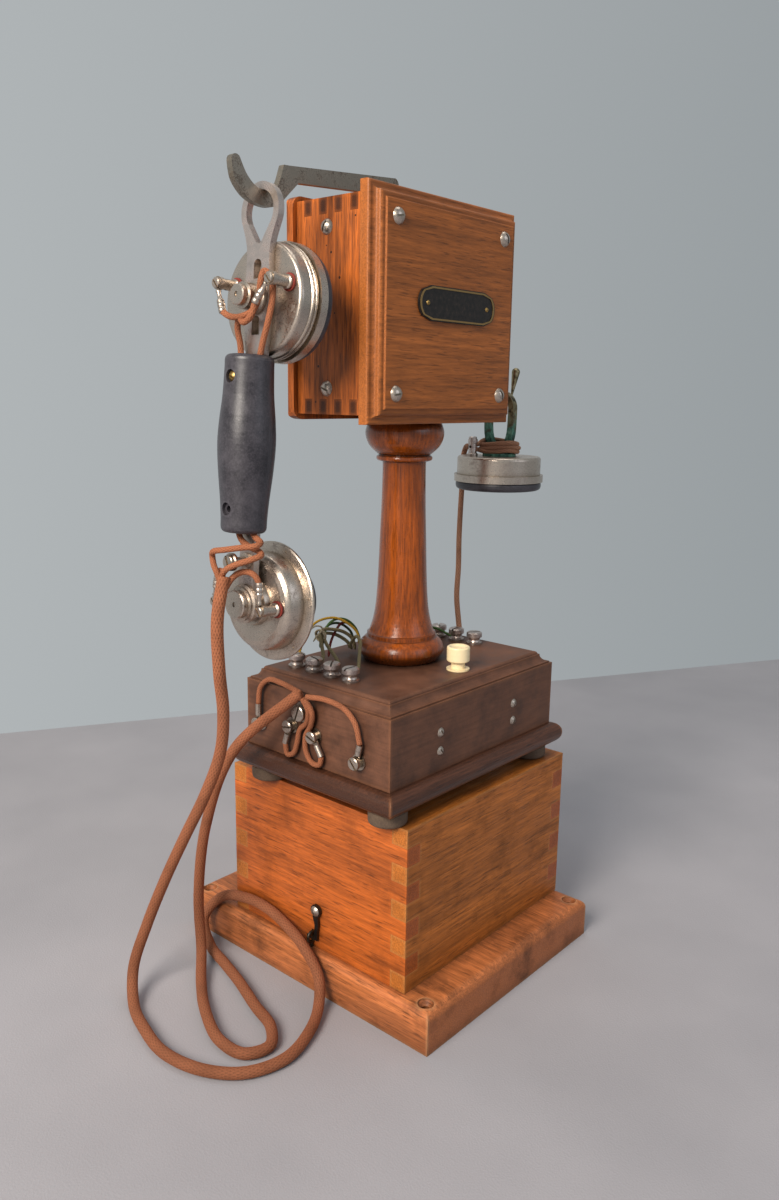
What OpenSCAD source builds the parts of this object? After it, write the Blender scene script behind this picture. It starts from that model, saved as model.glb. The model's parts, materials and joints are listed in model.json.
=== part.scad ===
// Column telephone on a battery box, with a lift-off handset and a spare receiver.
// Millimetres, +Z up. The origin is the centre of the base board's underside,
// -Y is the front (the side of the name plate) and -X is the handset side.

/* [Base board] */
// Width of the base board, left to right
board_w = 182; // [176:1:220]
// Depth of the base board, front to back
board_d = 222; // [200:1:280]
// Thickness of the base board
board_t = 27; // [18:1:36]
// Radius of the board's rounded upper edges
board_round = 6; // [2:0.5:9]
// Diameter of the four fixing holes
board_hole_d = 5; // [4:0.5:7]
// Diameter of the countersinks over the fixing holes
board_sink_d = 10; // [8:0.5:12]
// Distance of the fixing holes from the board's edges
board_hole_inset = 9; // [8:0.5:14]

/* [Battery box] */
// Outside width of the battery box
box_w = 172; // [160:1:174]
// Outside depth of the battery box
box_d = 156; // [140:1:190]
// Height of the battery box above the board
box_h = 107; // [100:1:140]
// Thickness of the box walls
box_wall = 12; // [8:0.5:15]
// Thickness of the top board set between the walls
box_top_t = 10; // [6:0.5:14]
// Shift of the box from the middle of the board, left to right
box_x = 2; // [-4:0.5:4]
// Shift of the box from the middle of the board, front to back
box_y = -9; // [-20:0.5:20]
// Number of fingers in each corner joint of the box
box_fingers = 9; // [5:2:15]
// Diameter of a dry cell
cell_d = 42; // [30:1:44]
// Height of a dry cell
cell_h = 80; // [60:1:82]
// Number of dry cells in the row
cell_count = 3; // [1:1:3]

/* [Latches] */
// Height of the latch pivot above the board
latch_up = 27; // [24:0.5:40]
// Distance from the latch pivot down to its finger
latch_drop = 20; // [16:0.5:24]
// Thickness of the latch plate
latch_t = 2; // [1.5:0.1:3]
// Diameter of the latch pivot screw
latch_pin_d = 3; // [2.5:0.1:4]
// Diameter of the wire of the screw eye
eye_wire_d = 2; // [1.5:0.1:2.4]

/* [Telephone case] */
// Shift of the telephone from the middle of the board, left to right
phone_x = -7; // [-10:0.5:10]
// Shift of the telephone from the middle of the board, front to back
phone_y = -18; // [-24:0.5:10]
// Diameter of a rubber foot
foot_d = 24; // [16:0.5:28]
// Height of a rubber foot
foot_t = 9; // [5:0.5:12]
// Distance of the feet's centres from the case's sides
foot_inset = 10; // [9:0.5:20]
// Thickness of the base plate
plate_t = 15; // [10:0.5:20]
// Overhang of the base plate beyond the case
plate_over = 7; // [3:0.5:10]
// Width of the case
case_w = 171; // [165:1:190]
// Depth of the case
case_d = 124; // [118:1:150]
// Height of the case
case_h = 52; // [46:1:64]
// Thickness of the case walls
case_wall = 8; // [5:0.5:10]
// Thickness of the case top
case_top_t = 8; // [5:0.5:10]
// Radius of the cove round the case's top edge
case_cove_r = 5; // [3:0.5:6]
// Diameter of a binding post on the case
post_d = 11; // [8:0.5:12]
// Spacing of the binding posts
post_pitch = 16; // [13:0.5:18]
// Number of binding posts in each row
post_count = 4; // [2:1:4]
// Distance of the post rows from the middle of the case
post_row_x = 64; // [56:0.5:66]

/* [Call button] */
// Diameter of the button's cap
button_cap_d = 15; // [12:0.5:18]
// Height of the button's cap
button_cap_h = 10; // [8:0.5:12]
// Diameter of the button's stem
button_stem_d = 9; // [6:0.5:10]
// Travel of the button
button_travel = 3.5; // [2:0.5:4]
// Radial clearance of the stem in its bush
button_fit = 0.05; // [0.02:0.01:0.1]

/* [Column] */
// Height of the turned column
col_h = 161; // [140:1:200]
// Greatest radius of the column's bell base
col_base_r = 28.5; // [24:0.5:32]
// Least radius of the column's shaft
col_neck_r = 14; // [11:0.5:17]
// Greatest radius of the column's cap
col_cap_r = 25.4; // [20:0.2:28]
// Distance of the column's axis behind the middle of the case
col_back = 4; // [-4:0.5:10]
// Diameter of the tie rod through the column
rod_d = 8; // [6:0.5:10]

/* [Head box] */
// Width of the head box's body
head_w = 129; // [110:1:150]
// Height of the head box's body
head_h = 121; // [100:1:150]
// Depth of the head box's body
head_d = 55; // [44:0.5:60]
// Thickness of the head box's walls
head_wall = 9; // [7:0.5:11]
// Number of fingers in each corner joint of the head box
head_fingers = 9; // [5:2:11]
// Thickness of the moulded front panel
front_t = 12; // [9:0.5:15]
// Overhang of the front panel beyond the body
front_over = 5; // [3:0.5:7]
// Thickness of the back panel
back_t = 7; // [5:0.5:9]
// Overhang of the back panel beyond the body
back_over = 3.5; // [2:0.5:5]
// Width of the name plate
name_w = 64; // [40:1:80]
// Height of the name plate
name_h = 20; // [14:1:28]

/* [Hook lever] */
// Thickness of the lever plate
lever_t = 4; // [3:0.5:5]
// Diameter of the lever's pivot pin
lever_pin_d = 4; // [3:0.5:5]
// Radial clearance of the lever on its pin
lever_fit = 0.05; // [0.02:0.01:0.1]

/* [Handset] */
// Angle at which the handset leans away from the box as it hangs
hang_tilt = 4; // [0:0.5:6]
// Thickness of the handset's frame plate
frame_t = 4; // [3:0.5:5]
// Outer radius of the hanging ring
ring_r = 14.7; // [13.5:0.1:16]
// Width of the hanging ring's band
ring_band = 4; // [3:0.5:5]
// Distance from the hook down to the receiver's axis
receiver_drop = 55; // [52:1:70]
// Distance from the hook down to the transmitter's axis
transmitter_drop = 220; // [210:1:250]
// Length of the grip
grip_len = 95; // [80:1:98]
// Greatest radius of the grip
grip_r = 15.8; // [13:0.2:18]

/* [Receivers] */
// Outer radius of a receiver cup
cup_r = 30.2; // [28.5:0.1:32]
// Depth of a receiver cup
cup_depth = 13; // [12:0.5:18]
// Wall thickness of a receiver cup
cup_wall = 1.8; // [1:0.1:3]
// Width of the screwed collar on a receiver
collar_w = 5; // [4:0.5:7]
// Thickness of an ebonite ear cap outside its collar
cap_t = 6; // [5:0.5:9]

/* [Cords] */
// Diameter of the handset cord
cord_d = 7; // [6:0.5:7]
// Diameter of the spare receiver's cord
spare_cord_d = 4; // [3:0.5:4]
// Diameter of a cord tail
tail_d = 3.4; // [2.5:0.1:3.5]

/* [Hidden] */
$fn = 64;
eps = 0.01;

// Levels and places worked out from the driving sizes
box_z0 = board_t;
box_z1 = box_z0 + box_h;
plate_z0 = box_z1 + foot_t;
case_z0 = plate_z0 + plate_t;
case_z1 = case_z0 + case_h;
case_in_z = case_z1 - case_top_t;
col_x = phone_x;
col_y = phone_y + col_back;
head_x = col_x - 2;
head_z0 = case_z1 + col_h;
head_z1 = head_z0 + head_h;
head_y0 = col_y - head_d / 2 + 1.5;
head_y1 = head_y0 + head_d;
front_y = head_y0 - front_t;
button_x = phone_x + 3;
button_y = phone_y - 42;
gap = 0.3;

// The lever's pivot, and the lowest point of its hook where the ring hangs
pivot_x = head_x - 22;
pivot_z = head_z1 - 16;
hook_x = head_x - head_w / 2 - 51.5;
hook_z = head_z1 - 5.6;
ring_gap = 0.6;

// ---- Helpers ----

function arc(cx, cy, r, a0, a1, n = 8) =
    [for (i = [0:n]) let (a = a0 + (a1 - a0) * i / n) [cx + r * cos(a), cy + r * sin(a)]];

// One point of a Catmull-Rom curve between b and c
function curve_point(a, b, c, d, t) =
    0.5 * (2 * b + (c - a) * t + (2 * a - 5 * b + 4 * c - d) * t * t
    + (3 * b - a - 3 * c + d) * t * t * t);

// A smooth curve through the points p, with n steps from each to the next
function smooth(p, n = 4) = concat(
    [for (i = [0:len(p) - 2], k = [0:n - 1])
        curve_point(p[max(i - 1, 0)], p[i], p[i + 1], p[min(i + 2, len(p) - 1)], k / n)],
    [p[len(p) - 1]]);

function unit(v) = v / norm(v);
function across(t) = unit(cross(t, abs(t[2]) < 0.8 ? [0, 0, 1] : [1, 0, 0]));
function tangents(p) =
    [for (i = [0:len(p) - 1]) unit(p[min(i + 1, len(p) - 1)] - p[max(i - 1, 0)])];
// Normals carried along the route without twisting
function normals(t) =
    [for (i = 0, n = across(t[0]); i < len(t);
        i = i + 1, n = i < len(t) ? unit(n - (n * t[i]) * t[i]) : n) n];

// A round tube along the points p
module tube(p, d, sides = 8) {
    t = tangents(p);
    n = normals(t);
    rings = [for (i = [0:len(p) - 1], k = [0:sides - 1])
        p[i] + d / 2 * (cos(360 * k / sides) * n[i] + sin(360 * k / sides) * cross(t[i], n[i]))];
    last = (len(p) - 1) * sides;
    walls = [for (i = [0:len(p) - 2], k = [0:sides - 1])
        [i * sides + k, i * sides + (k + 1) % sides,
            (i + 1) * sides + (k + 1) % sides, (i + 1) * sides + k]];
    start = [for (k = [sides - 1:-1:0]) k];
    end = [for (k = [0:sides - 1]) last + k];
    polyhedron(points = rings, faces = concat([start], walls, [end]), convexity = 10);
}

// A slab from z = 0 up whose side walls follow the outline half_edge, a list of [out, z]
// points from the bottom to the top, where out is the distance beyond the slab's w x d plan
module edged_slab(w, d, half_edge) {
    function outline(half) = concat(
        [for (q = half_edge) [half + q[0], q[1]]],
        [for (i = [len(half_edge) - 1:-1:0]) [-half - half_edge[i][0], half_edge[i][1]]]);
    reach = 2 * max(w, d);
    intersection() {
        rotate([90, 0, 0]) linear_extrude(reach, center = true) polygon(outline(w / 2));
        rotate([90, 0, 90]) linear_extrude(reach, center = true) polygon(outline(d / 2));
    }
}

// A round-headed slotted screw, head up, its shank going down from z = 0
module round_screw(head_d, head_h, shank_d, shank_l, slot_w = 1, turn = 0) {
    ball_r = (head_d * head_d / 4 + head_h * head_h) / (2 * head_h);
    difference() {
        intersection() {
            translate([0, 0, head_h - ball_r]) sphere(r = ball_r, $fn = 96);
            cylinder(d = head_d, h = head_h);
        }
        rotate([0, 0, turn]) translate([-head_d, -slot_w / 2, head_h * 0.55])
            cube([2 * head_d, slot_w, head_h]);
    }
    translate([0, 0, -shank_l]) cylinder(d = shank_d, h = shank_l);
}

// A flat, slotted cheese head standing on z = 0
module cheese_head(d, h, slot_w = 1.2, turn = 0) {
    r = d / 2;
    difference() {
        rotate_extrude() polygon([[0, 0], [r, 0], [r, h - 0.5], [r - 0.5, h], [0, h]]);
        rotate([0, 0, turn]) translate([-d, -slot_w / 2, h / 2]) cube([2 * d, slot_w, h]);
    }
}

module along_x() { rotate([0, 90, 0]) children(); }
module facing_front() { rotate([90, 0, 0]) children(); }
module facing_left() { rotate([0, -90, 0]) children(); }
module on_phone() { translate([phone_x, phone_y, 0]) children(); }
module on_head() { translate([head_x, 0, head_z0]) children(); }
module on_handset() {
    translate([hook_x, col_y, hook_z + ring_gap]) rotate([0, hang_tilt, 0]) children();
}

// ---- Base board and battery box ----

function rounded_top(h, r) = concat([[0, 0], [0, h - r]], arc(-r, h - r, r, 15, 90, 5));

module base_board() {
    hole_x = board_w / 2 - board_hole_inset;
    hole_y = board_d / 2 - board_hole_inset;
    sink_h = (board_sink_d - board_hole_d) / 2;
    color("peru") difference() {
        edged_slab(board_w, board_d, rounded_top(board_t, board_round));
        for (x = [-hole_x, hole_x], y = [-hole_y, hole_y]) translate([x, y, -1]) {
            cylinder(d = board_hole_d, h = board_t + 2);
            translate([0, 0, board_t + 1 - sink_h - 1])
                cylinder(d1 = board_hole_d, d2 = board_sink_d, h = sink_h);
            translate([0, 0, board_t]) cylinder(d = board_sink_d, h = 2);
        }
        for (s = [-1, 1]) translate([latch_x(s), eye_y, box_z0 - eye_stem]) cylinder(d = eye_wire_d, h = 40);
    }
}

// Cuts fingers number from, from + 2 ... out of both ends of a panel standing on z = 0
module finger_cuts(length, height, thickness, count, from) {
    pitch = height / count;
    for (i = [from:2:count - 1], s = [-1, 1])
        translate([s * (length - thickness) / 2, 0, (i + 0.5) * pitch])
            cube([thickness + 2 * eps, 3 * thickness, pitch], center = true);
}

module box_end_panels() {
    color("sienna") for (s = [-1, 1])
        translate([box_x, box_y + s * (box_d - box_wall) / 2, box_z0]) difference() {
            translate([-box_w / 2, -box_wall / 2, 0]) cube([box_w, box_wall, box_h]);
            finger_cuts(box_w, box_h, box_wall, box_fingers, 1);
        }
}

module box_side_panels() {
    color("chocolate") for (s = [-1, 1])
        translate([box_x + s * (box_w - box_wall) / 2, box_y, box_z0]) difference() {
            translate([-box_wall / 2, -box_d / 2, 0]) cube([box_wall, box_d, box_h]);
            rotate([0, 0, 90]) finger_cuts(box_d, box_h, box_wall, box_fingers, 0);
            translate([s * (box_wall / 2 - latch_screw_l), latch_y - box_y, latch_up])
                rotate([0, 90 * s, 0]) cylinder(d = latch_pin_d, h = latch_screw_l + 1);
            // A recess behind the latch's screw eye
            translate([s * (box_wall / 2 + latch_off), eye_y - box_y, 0]) {
                translate([0, 0, -1]) cylinder(d = eye_wire_d + 2 * gap, h = 1 + latch_up - latch_drop);
                translate([0, eye_wire_d / 2 + gap, latch_up - latch_drop]) facing_front()
                    cylinder(r = eye_ring_r + eye_wire_d / 2 + gap, h = eye_wire_d + 2 * gap);
            }
        }
}

module box_top() {
    color("peru") translate([box_x, box_y, box_z1 - box_top_t / 2])
        cube([box_w - 2 * box_wall, box_d - 2 * box_wall, box_top_t], center = true);
}

cell_pitch = cell_d + 4;
function cell_x(i) = box_x + (i - (cell_count - 1) / 2) * cell_pitch;

module dry_cells() {
    color("dimgray") for (i = [0:cell_count - 1]) translate([cell_x(i), box_y, box_z0]) {
        cylinder(d = cell_d, h = cell_h);
        translate([0, 0, cell_h]) cylinder(d = 8, h = 3);
    }
}

module cell_terminals() {
    color("goldenrod") for (i = [0:cell_count - 1]) {
        translate([cell_x(i), box_y, box_z0 + cell_h + 3]) cylinder(d = 6, h = 3);
        translate([cell_x(i), box_y + cell_d / 2 - 5, box_z0 + cell_h]) cylinder(d = 5, h = 6);
    }
    if (cell_count > 1) color("goldenrod") for (i = [0:cell_count - 2])
        translate([cell_x(i), box_y, box_z0 + cell_h + 6]) link_strip(cell_pitch, cell_d / 2 - 5);
}

// A brass strip from one cell's middle to the next cell's edge terminal
module link_strip(dx, dy) {
    linear_extrude(0.8) union() {
        circle(d = 6);
        translate([dx, dy]) circle(d = 5);
        polygon([[0, -2], [0, 2], [dx, dy + 2], [dx, dy - 2]]);
    }
}

// ---- Latches: a flat hook each side, from a pivot screw to a screw eye in the board ----

latch_y = col_y + 2;
latch_screw_l = 8;
latch_head_h = 1.8;
eye_hole_d = 5;
eye_stem = 10;
latch_off = gap + latch_t / 2;
eye_ring_r = eye_hole_d / 2 + eye_wire_d / 2;
eye_y = latch_y + 4;
finger_h = 2;
// The middle of the latch plate, out from the box wall; s is -1 on the left, 1 on the right
function latch_x(s) = box_x + s * (box_w / 2 + latch_off);

module latch_eyes() {
    color("dimgray") for (s = [-1, 1]) translate([latch_x(s), eye_y, box_z0]) {
        translate([0, 0, latch_up - latch_drop]) rotate([90, 0, 0])
            rotate_extrude() translate([eye_ring_r, 0]) circle(d = eye_wire_d, $fn = 24);
        translate([0, 0, -eye_stem]) cylinder(d = eye_wire_d,
            h = eye_stem + latch_up - latch_drop - eye_ring_r);
    }
}

module latch_screws() {
    color("silver") for (s = [-1, 1])
        translate([box_x + s * (box_w / 2 + latch_t + 2 * gap), latch_y, box_z0 + latch_up])
            rotate([0, 90 * s, 0]) round_screw(7, latch_head_h, latch_pin_d,
                latch_screw_l + latch_t + 2 * gap, 0.9, 35);
}

// A latch drawn in its own plane: x is across the case's depth, y is up from the pivot
module latch_outline() {
    finger_y = eye_y - latch_y + 3.5;
    circle(r = 4.2);
    polygon(concat(
        smooth([[-2.4, 0], [-2.2, -5], [-2.6, -10], [-1.8, -15], [-1.5, -latch_drop - finger_h / 2]], 4),
        [[finger_y, -latch_drop - finger_h / 2], [finger_y, -latch_drop + finger_h / 2]],
        [[1.5, -latch_drop + finger_h / 2]],
        smooth([[1.2, -latch_drop + 3.5], [0.6, -10], [2.2, -5], [2.4, 0]], 4)));
}

module latch(s) {
    translate([latch_x(s), latch_y, box_z0 + latch_up]) rotate([90, 0, 90])
        translate([0, 0, -latch_t / 2]) linear_extrude(latch_t) difference() {
            latch_outline();
            circle(d = latch_pin_d + 0.12);
        }
}

module latch_left() { color("dimgray") latch(-1); }
module latch_right() { color("dimgray") latch(1); }

// ---- Telephone base ----

module feet() {
    x = case_w / 2 - foot_inset;
    y = case_d / 2 - foot_inset;
    r = foot_d / 2;
    color("gray") on_phone() for (i = [-1, 1], j = [-1, 1]) translate([i * x, j * y, box_z1])
        rotate_extrude() polygon(concat([[0, 0]], arc(r - 2, 2, 2, -90, 0, 4),
            arc(r - 2, foot_t - 2, 2, 0, 90, 4), [[0, foot_t]]));
}

function bullnose(h, r) = concat([[-r, 0]], arc(-r, r, r, -75, 0, 4), arc(-r, h - r, r, 0, 75, 4), [[-r, h]]);

module base_plate() {
    color([0.12, 0.09, 0.08]) on_phone() translate([0, 0, plate_z0])
        edged_slab(case_w + 2 * plate_over, case_d + 2 * plate_over, bullnose(plate_t, plate_t / 2 - 0.5));
}

// The case's moulded edge: upright wall, a small step, a hollow cove and a rounded lip
case_step = 1.5;
function case_edge() = concat(
    [[0, 0], [0, case_h - case_cove_r - 3], [-case_step, case_h - case_cove_r - 3]],
    arc(-case_step, case_h - 2, case_cove_r, -90, -180, 6),
    [[-case_step - case_cove_r - 1, case_h - 2]],
    arc(-case_step - case_cove_r - 3, case_h - 2, 2, 15, 90, 4));

module case_shell() {
    color([0.30, 0.17, 0.13]) on_phone() difference() {
        translate([0, 0, case_z0]) edged_slab(case_w, case_d, case_edge());
        translate([0, 0, case_z0 + (case_h - case_top_t) / 2 - 1])
            cube([case_w - 2 * case_wall, case_d - 2 * case_wall, case_h - case_top_t + 2], center = true);
        translate([0, col_back, case_in_z - 1]) cylinder(d = rod_d + 0.6, h = case_top_t + 2);
        translate([button_x - phone_x, button_y - phone_y, case_in_z - 1])
            cylinder(d = bush_d, h = case_top_t + 2);
        for (p = post_places()) translate([p[0], p[1], case_in_z - 1])
            cylinder(d = stud_d + 0.6, h = case_top_t + 2);
        for (p = front_screw_places()) translate([p[0], -case_d / 2 + case_wall, p[1]])
            facing_front() cylinder(d = screw_shank_d, h = case_wall + 1);
        for (p = side_places()) translate([-case_w / 2 + case_wall, p[0] - phone_y, p[1]])
            facing_left() cylinder(d = screw_shank_d, h = case_wall + 1);
    }
}

screw_shank_d = 2.6;
screw_shank_l = 7;
stud_d = 3.4;
bush_d = button_stem_d + 4;
post_shift_y = 14;
function post_places() = [for (s = [-1, 1], i = [0:post_count - 1])
    [s * post_row_x, post_shift_y + (i - (post_count - 1) / 2) * post_pitch]];
function front_screw_places() = [for (x = [-39, 39], z = [13, 25]) [x, case_z0 + z]];
// Cord terminals on the left wall: [y, z] of four tail terminals and then the anchor screw
function side_places() = [
    [-56, case_z0 + 13], [-20, case_z0 + 20], [1, case_z0 + 22], [30, case_z0 + 17], [-9, case_z0 + 33]];

// A binding post: a base, a waisted barrel and a stud through the case top
module terminal_posts() {
    r = post_d / 2;
    color("gray") on_phone() for (p = post_places()) translate([p[0], p[1], case_z1]) {
        rotate_extrude() polygon(concat([[0, 0], [r, 0], [r, 1.2], [r - 1.2, 1.8]],
            arc(r - 0.4, 3.2, 1.2, 200, 160, 2), [[r - 1.2, 4.4], [0, 4.4]]));
        translate([0, 0, -case_top_t - 4]) cylinder(d = stud_d, h = case_top_t + 4);
        translate([0, 0, -case_top_t - 3]) cylinder(d = 7, h = 3 - gap, $fn = 6);
    }
}

module terminal_screws() {
    r = post_d / 2;
    color("gray") on_phone() for (i = [0:len(post_places()) - 1])
        translate([post_places()[i][0], post_places()[i][1], case_z1 + 4.4]) difference() {
            rotate_extrude() polygon([[0, 0], [r - 1, 0], [r, 0.8], [r, 3.4], [r - 1, 4.2], [0, 4.2]]);
            rotate([0, 0, 37 * i]) translate([-r - 1, -0.6, 2.8]) cube([2 * r + 2, 1.2, 3]);
        }
}

// Cheese-headed terminal screws on washers, with the metal tags of the cord's tails
tag_l = 9;
module side_terminals() {
    wall_x = phone_x - case_w / 2;
    color("silver") for (i = [0:4]) let (p = side_places()[i], big = i == 4 ? 1.3 : 1)
        translate([wall_x, p[0], p[1]]) facing_left() {
            cylinder(d = 10 * big, h = 1);
            translate([0, 0, 1]) cylinder(d = 6 * big, h = 3);
            translate([0, 0, 3.9]) cheese_head(8 * big, 2.4, 1.2, 40 + 30 * i);
            translate([0, 0, -screw_shank_l]) cylinder(d = screw_shank_d, h = screw_shank_l);
        }
    color("silver") for (i = [0:3]) translate([wall_x - tail_off, tail_ends()[i][0], tail_ends()[i][1]])
        tag(side_places()[i] - tail_ends()[i]);
}

// A crimped tag from a tail's end, with a flat tongue that reaches the terminal a [y, z] step away
module tag(step) {
    turn = atan2(step[1], step[0]);
    reach = norm(step) - 3.1;
    rotate([turn, 0, 0]) {
        rotate([-90, 0, 0]) cylinder(d = tail_d + 0.4, h = reach - 2.5);
        translate([-0.4, 0, -1.8]) cube([1, reach, 3.6]);
    }
}

// ---- Cord routes, chosen by hand ----

tail_off = 3;
function tail_ends() = [[-59, 183], [-27, 167], [5, 168], [30, 188]];
tail_x = phone_x - case_w / 2 - tail_off;
// Four tails from the end of the handset cord to their terminals
function tail_routes() = [
    [[-99, -18, 204], [-97.5, -32, 205], [tail_x, -46, 202], [tail_x, -55, 195], [tail_x, -59, 183]],
    [[-98.5, -16, 202], [-97, -20.5, 194], [tail_x, -18, 185], [tail_x, -13.5, 177], [tail_x, -13.5, 168],
        [tail_x, -18.5, 161.2], [tail_x, -25.5, 161.5], [tail_x, -27, 167]],
    [[-98.5, -13.5, 202], [-97, -17, 195], [tail_x, -14.5, 186], [tail_x, -8.5, 180], [tail_x, -6, 171],
        [tail_x, -2.5, 163], [tail_x, 3, 161], [tail_x, 5, 168]],
    [[-98.5, -12, 205], [-97, 6, 207], [tail_x, 20, 206], [tail_x, 28, 199], [tail_x, 30, 188]]];

// From the handset down to the table, round in a loop against the box, and up to the case
handset_route = [
    [-157, -14, 285], [-162, -14, 262], [-160, -12, 232], [-153, -6, 204], [-148, 4, 176],
    [-149, 18, 146], [-153, 34, 115], [-158, 49, 83], [-164, 62, 49], [-171, 69, 18],
    [-181, 55, 4], [-191, 29, 4], [-196, 2, 4], [-190, -26, 4], [-175, -46, 4],
    [-152, -54, 4], [-128, -48, 4], [-107, -36, 6], [-97, -26, 18], [-95.5, -11, 32],
    [-91, 8, 36], [-88.5, 32, 40], [-88.5, 56, 39], [-91, 78, 32], [-100, 87, 16],
    [-108, 70, 5], [-114, 48, 4], [-121, 24, 4], [-131, -4, 4], [-138, -26, 4],
    [-151, -39, 4], [-165, -33, 4], [-167, -13, 4], [-155, 16, 4], [-138, 42, 4],
    [-122, 62, 13], [-117, 70, 46], [-118, 58, 104], [-117, 28, 164], [-99, -12, 205]];

function part_of(route, from, to) = [for (i = [from:to]) route[i]];
cord_split = 2;
spare_split = 4;

// The stretch that lies still, with the tails that it divides into at the case
module handset_cord() {
    start = handset_route[cord_split] + [0.2, 0.2, -1.2];
    color("chocolate") {
        tube(concat([start], part_of(handset_route, cord_split + 1, len(handset_route) - 1)), cord_d, 8);
        for (r = tail_routes()) tube(r, tail_d, 8);
    }
}

// The short stretch that lifts with the handset
module handset_cord_top() { color("chocolate") tube(part_of(handset_route, 0, cord_split), cord_d, 8); }

// From the top of the spare receiver over its rim and down to a post on the case
spare_route = [
    [95, 9, 346], [101.5, 17.5, 345.5], [103, 21.5, 336], [103, 21.5, 318], [98, 18.5, 298],
    [90, 13, 278], [81, 6, 258], [72, 0, 238], [67, -6, 222], [62.5, -11, 213]];

module spare_cord() {
    start = spare_route[spare_split] + [-0.1, -0.2, -0.8];
    color("chocolate") tube(concat([start], part_of(spare_route, spare_split + 1, len(spare_route) - 1)),
        spare_cord_d, 8);
}

// The stretch that swings with the spare receiver
module spare_cord_top() { color("chocolate") tube(part_of(spare_route, 0, spare_split), spare_cord_d, 8); }

// ---- Inside the case ----

coil_z = case_z0 + 15;
coil_y = phone_y + 33;
coil_l = 66;
module induction_coil() {
    color("saddlebrown") for (s = [-1, 1])
        translate([phone_x + s * (coil_l / 2 + 2.5), coil_y, case_z0 + 13.5]) cube([5, 30, 27], center = true);
    color("darkgreen") translate([phone_x - coil_l / 2, coil_y, coil_z]) along_x() cylinder(d = 24, h = coil_l);
}

// Leaf contacts on ebonite blocks: one set under the button, one beside the lever's tang
module contact_springs() {
    color([0.1, 0.1, 0.1]) {
        translate([button_x - 25, button_y - 6, case_z0]) cube([10, 12, 24]);
        translate([pivot_x - 26, col_y - 6, head_z1 - head_wall - 18]) cube([8, 12, 18]);
    }
    color("goldenrod") {
        translate([button_x - 15, button_y - 4, case_z0 + 4]) cube([22, 8, 0.6]);
        for (z = [10, 19]) translate([button_x - 15, button_y - 4, case_z0 + z]) cube([6, 8, 0.6]);
        for (z = [4, 9, 14]) translate([pivot_x - 18, col_y - 4, head_z1 - head_wall - z]) cube([10, 8, 0.6]);
    }
}

// ---- Call button ----

bush_flange = 1;
button_gap = button_travel + 1;
spring_z0 = case_z0 + 4.6 + gap;
collar_h = 3;
stem_z0 = case_in_z - gap - collar_h;

module button_bush() {
    color("ivory") translate([button_x, button_y, 0]) difference() {
        union() {
            translate([0, 0, case_in_z]) cylinder(d = bush_d, h = case_top_t);
            translate([0, 0, case_z1]) cylinder(d = bush_d + 2, h = bush_flange);
        }
        translate([0, 0, case_in_z - 1]) cylinder(d = button_stem_d + 2 * button_fit, h = case_top_t + 4);
    }
}

// The cap is dished on top; a collar under the case top stops it from coming out
module call_button() {
    r = button_cap_d / 2;
    cap_z = case_z1 + bush_flange + button_gap;
    color("ivory") translate([button_x, button_y, 0]) {
        translate([0, 0, cap_z]) rotate_extrude() polygon(concat(
            [[0, 0], [r - 0.8, 0], [r, 0.8]], arc(r - 1.2, button_cap_h - 1.2, 1.2, 0, 90, 5),
            smooth([[r - 2.2, button_cap_h - 0.3], [r - 4, button_cap_h - 1.2], [0, button_cap_h - 1.8]], 4)));
        translate([0, 0, stem_z0]) cylinder(d = button_stem_d, h = cap_z - stem_z0);
        translate([0, 0, stem_z0]) cylinder(d = bush_d, h = collar_h);
    }
}

module button_spring() {
    turns = 5;
    steps = 12;
    wire = 1;
    coil_r = button_stem_d / 2;
    height = stem_z0 - gap - spring_z0 - wire;
    color("silver") translate([button_x, button_y, spring_z0 + wire / 2]) tube(
        [for (i = [0:turns * steps]) let (a = 360 * i / steps)
            [coil_r * cos(a), coil_r * sin(a), height * i / (turns * steps)]], wire, 6);
}

// ---- Column ----

module column() {
    r = col_base_r;
    n = col_neck_r;
    c = col_cap_r;
    h = col_h;
    color([0.45, 0.16, 0.07]) translate([col_x, col_y, case_z1]) difference() {
        rotate_extrude() polygon(concat(
            [[0, 0], [r - 5, 0]],
            smooth([[r - 3, 1], [r, 6], [r - 1, 11], [r - 4.5, 15]], 5),
            [[r - 5.5, 15.6], [r - 5.5, 18], [r - 6.5, 18.6]],
            smooth([[r - 7, 19.5], [r - 9.3, 27], [n + 3.4, 38], [n + 2.2, 56], [n + 1.3, 80],
                [n + 0.4, 105], [n, h - 33], [n + 0.4, h - 30]], 4),
            [[n + 2.4, h - 29.4]], arc(n + 2.4, h - 27.6, 1.8, -90, 90, 6), [[n + 2.4, h - 25.6]],
            smooth([[c - 8, h - 25], [c - 2.4, h - 19.5], [c, h - 12], [c - 2, h - 5], [c - 6, h]], 5),
            [[0, h]]));
        translate([0, 0, -1]) cylinder(d = rod_d + 1, h = h + 2);
    }
}

// A threaded rod with a nut and washer at each end holds the column between case and head
module tie_rod() {
    nut_h = 6;
    low = case_in_z;
    high = head_z0 + head_wall;
    color("gray") translate([col_x, col_y, 0]) {
        translate([0, 0, low - nut_h - 4]) cylinder(d = rod_d, h = high - low + 2 * nut_h + 8);
        for (z = [low - nut_h - 1.5, high + 1.5]) translate([0, 0, z]) cylinder(d = 15, h = nut_h, $fn = 6);
        for (z = [low - 1.5, high]) translate([0, 0, z]) cylinder(d = 18, h = 1.5);
    }
}

// ---- Head box ----

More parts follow.
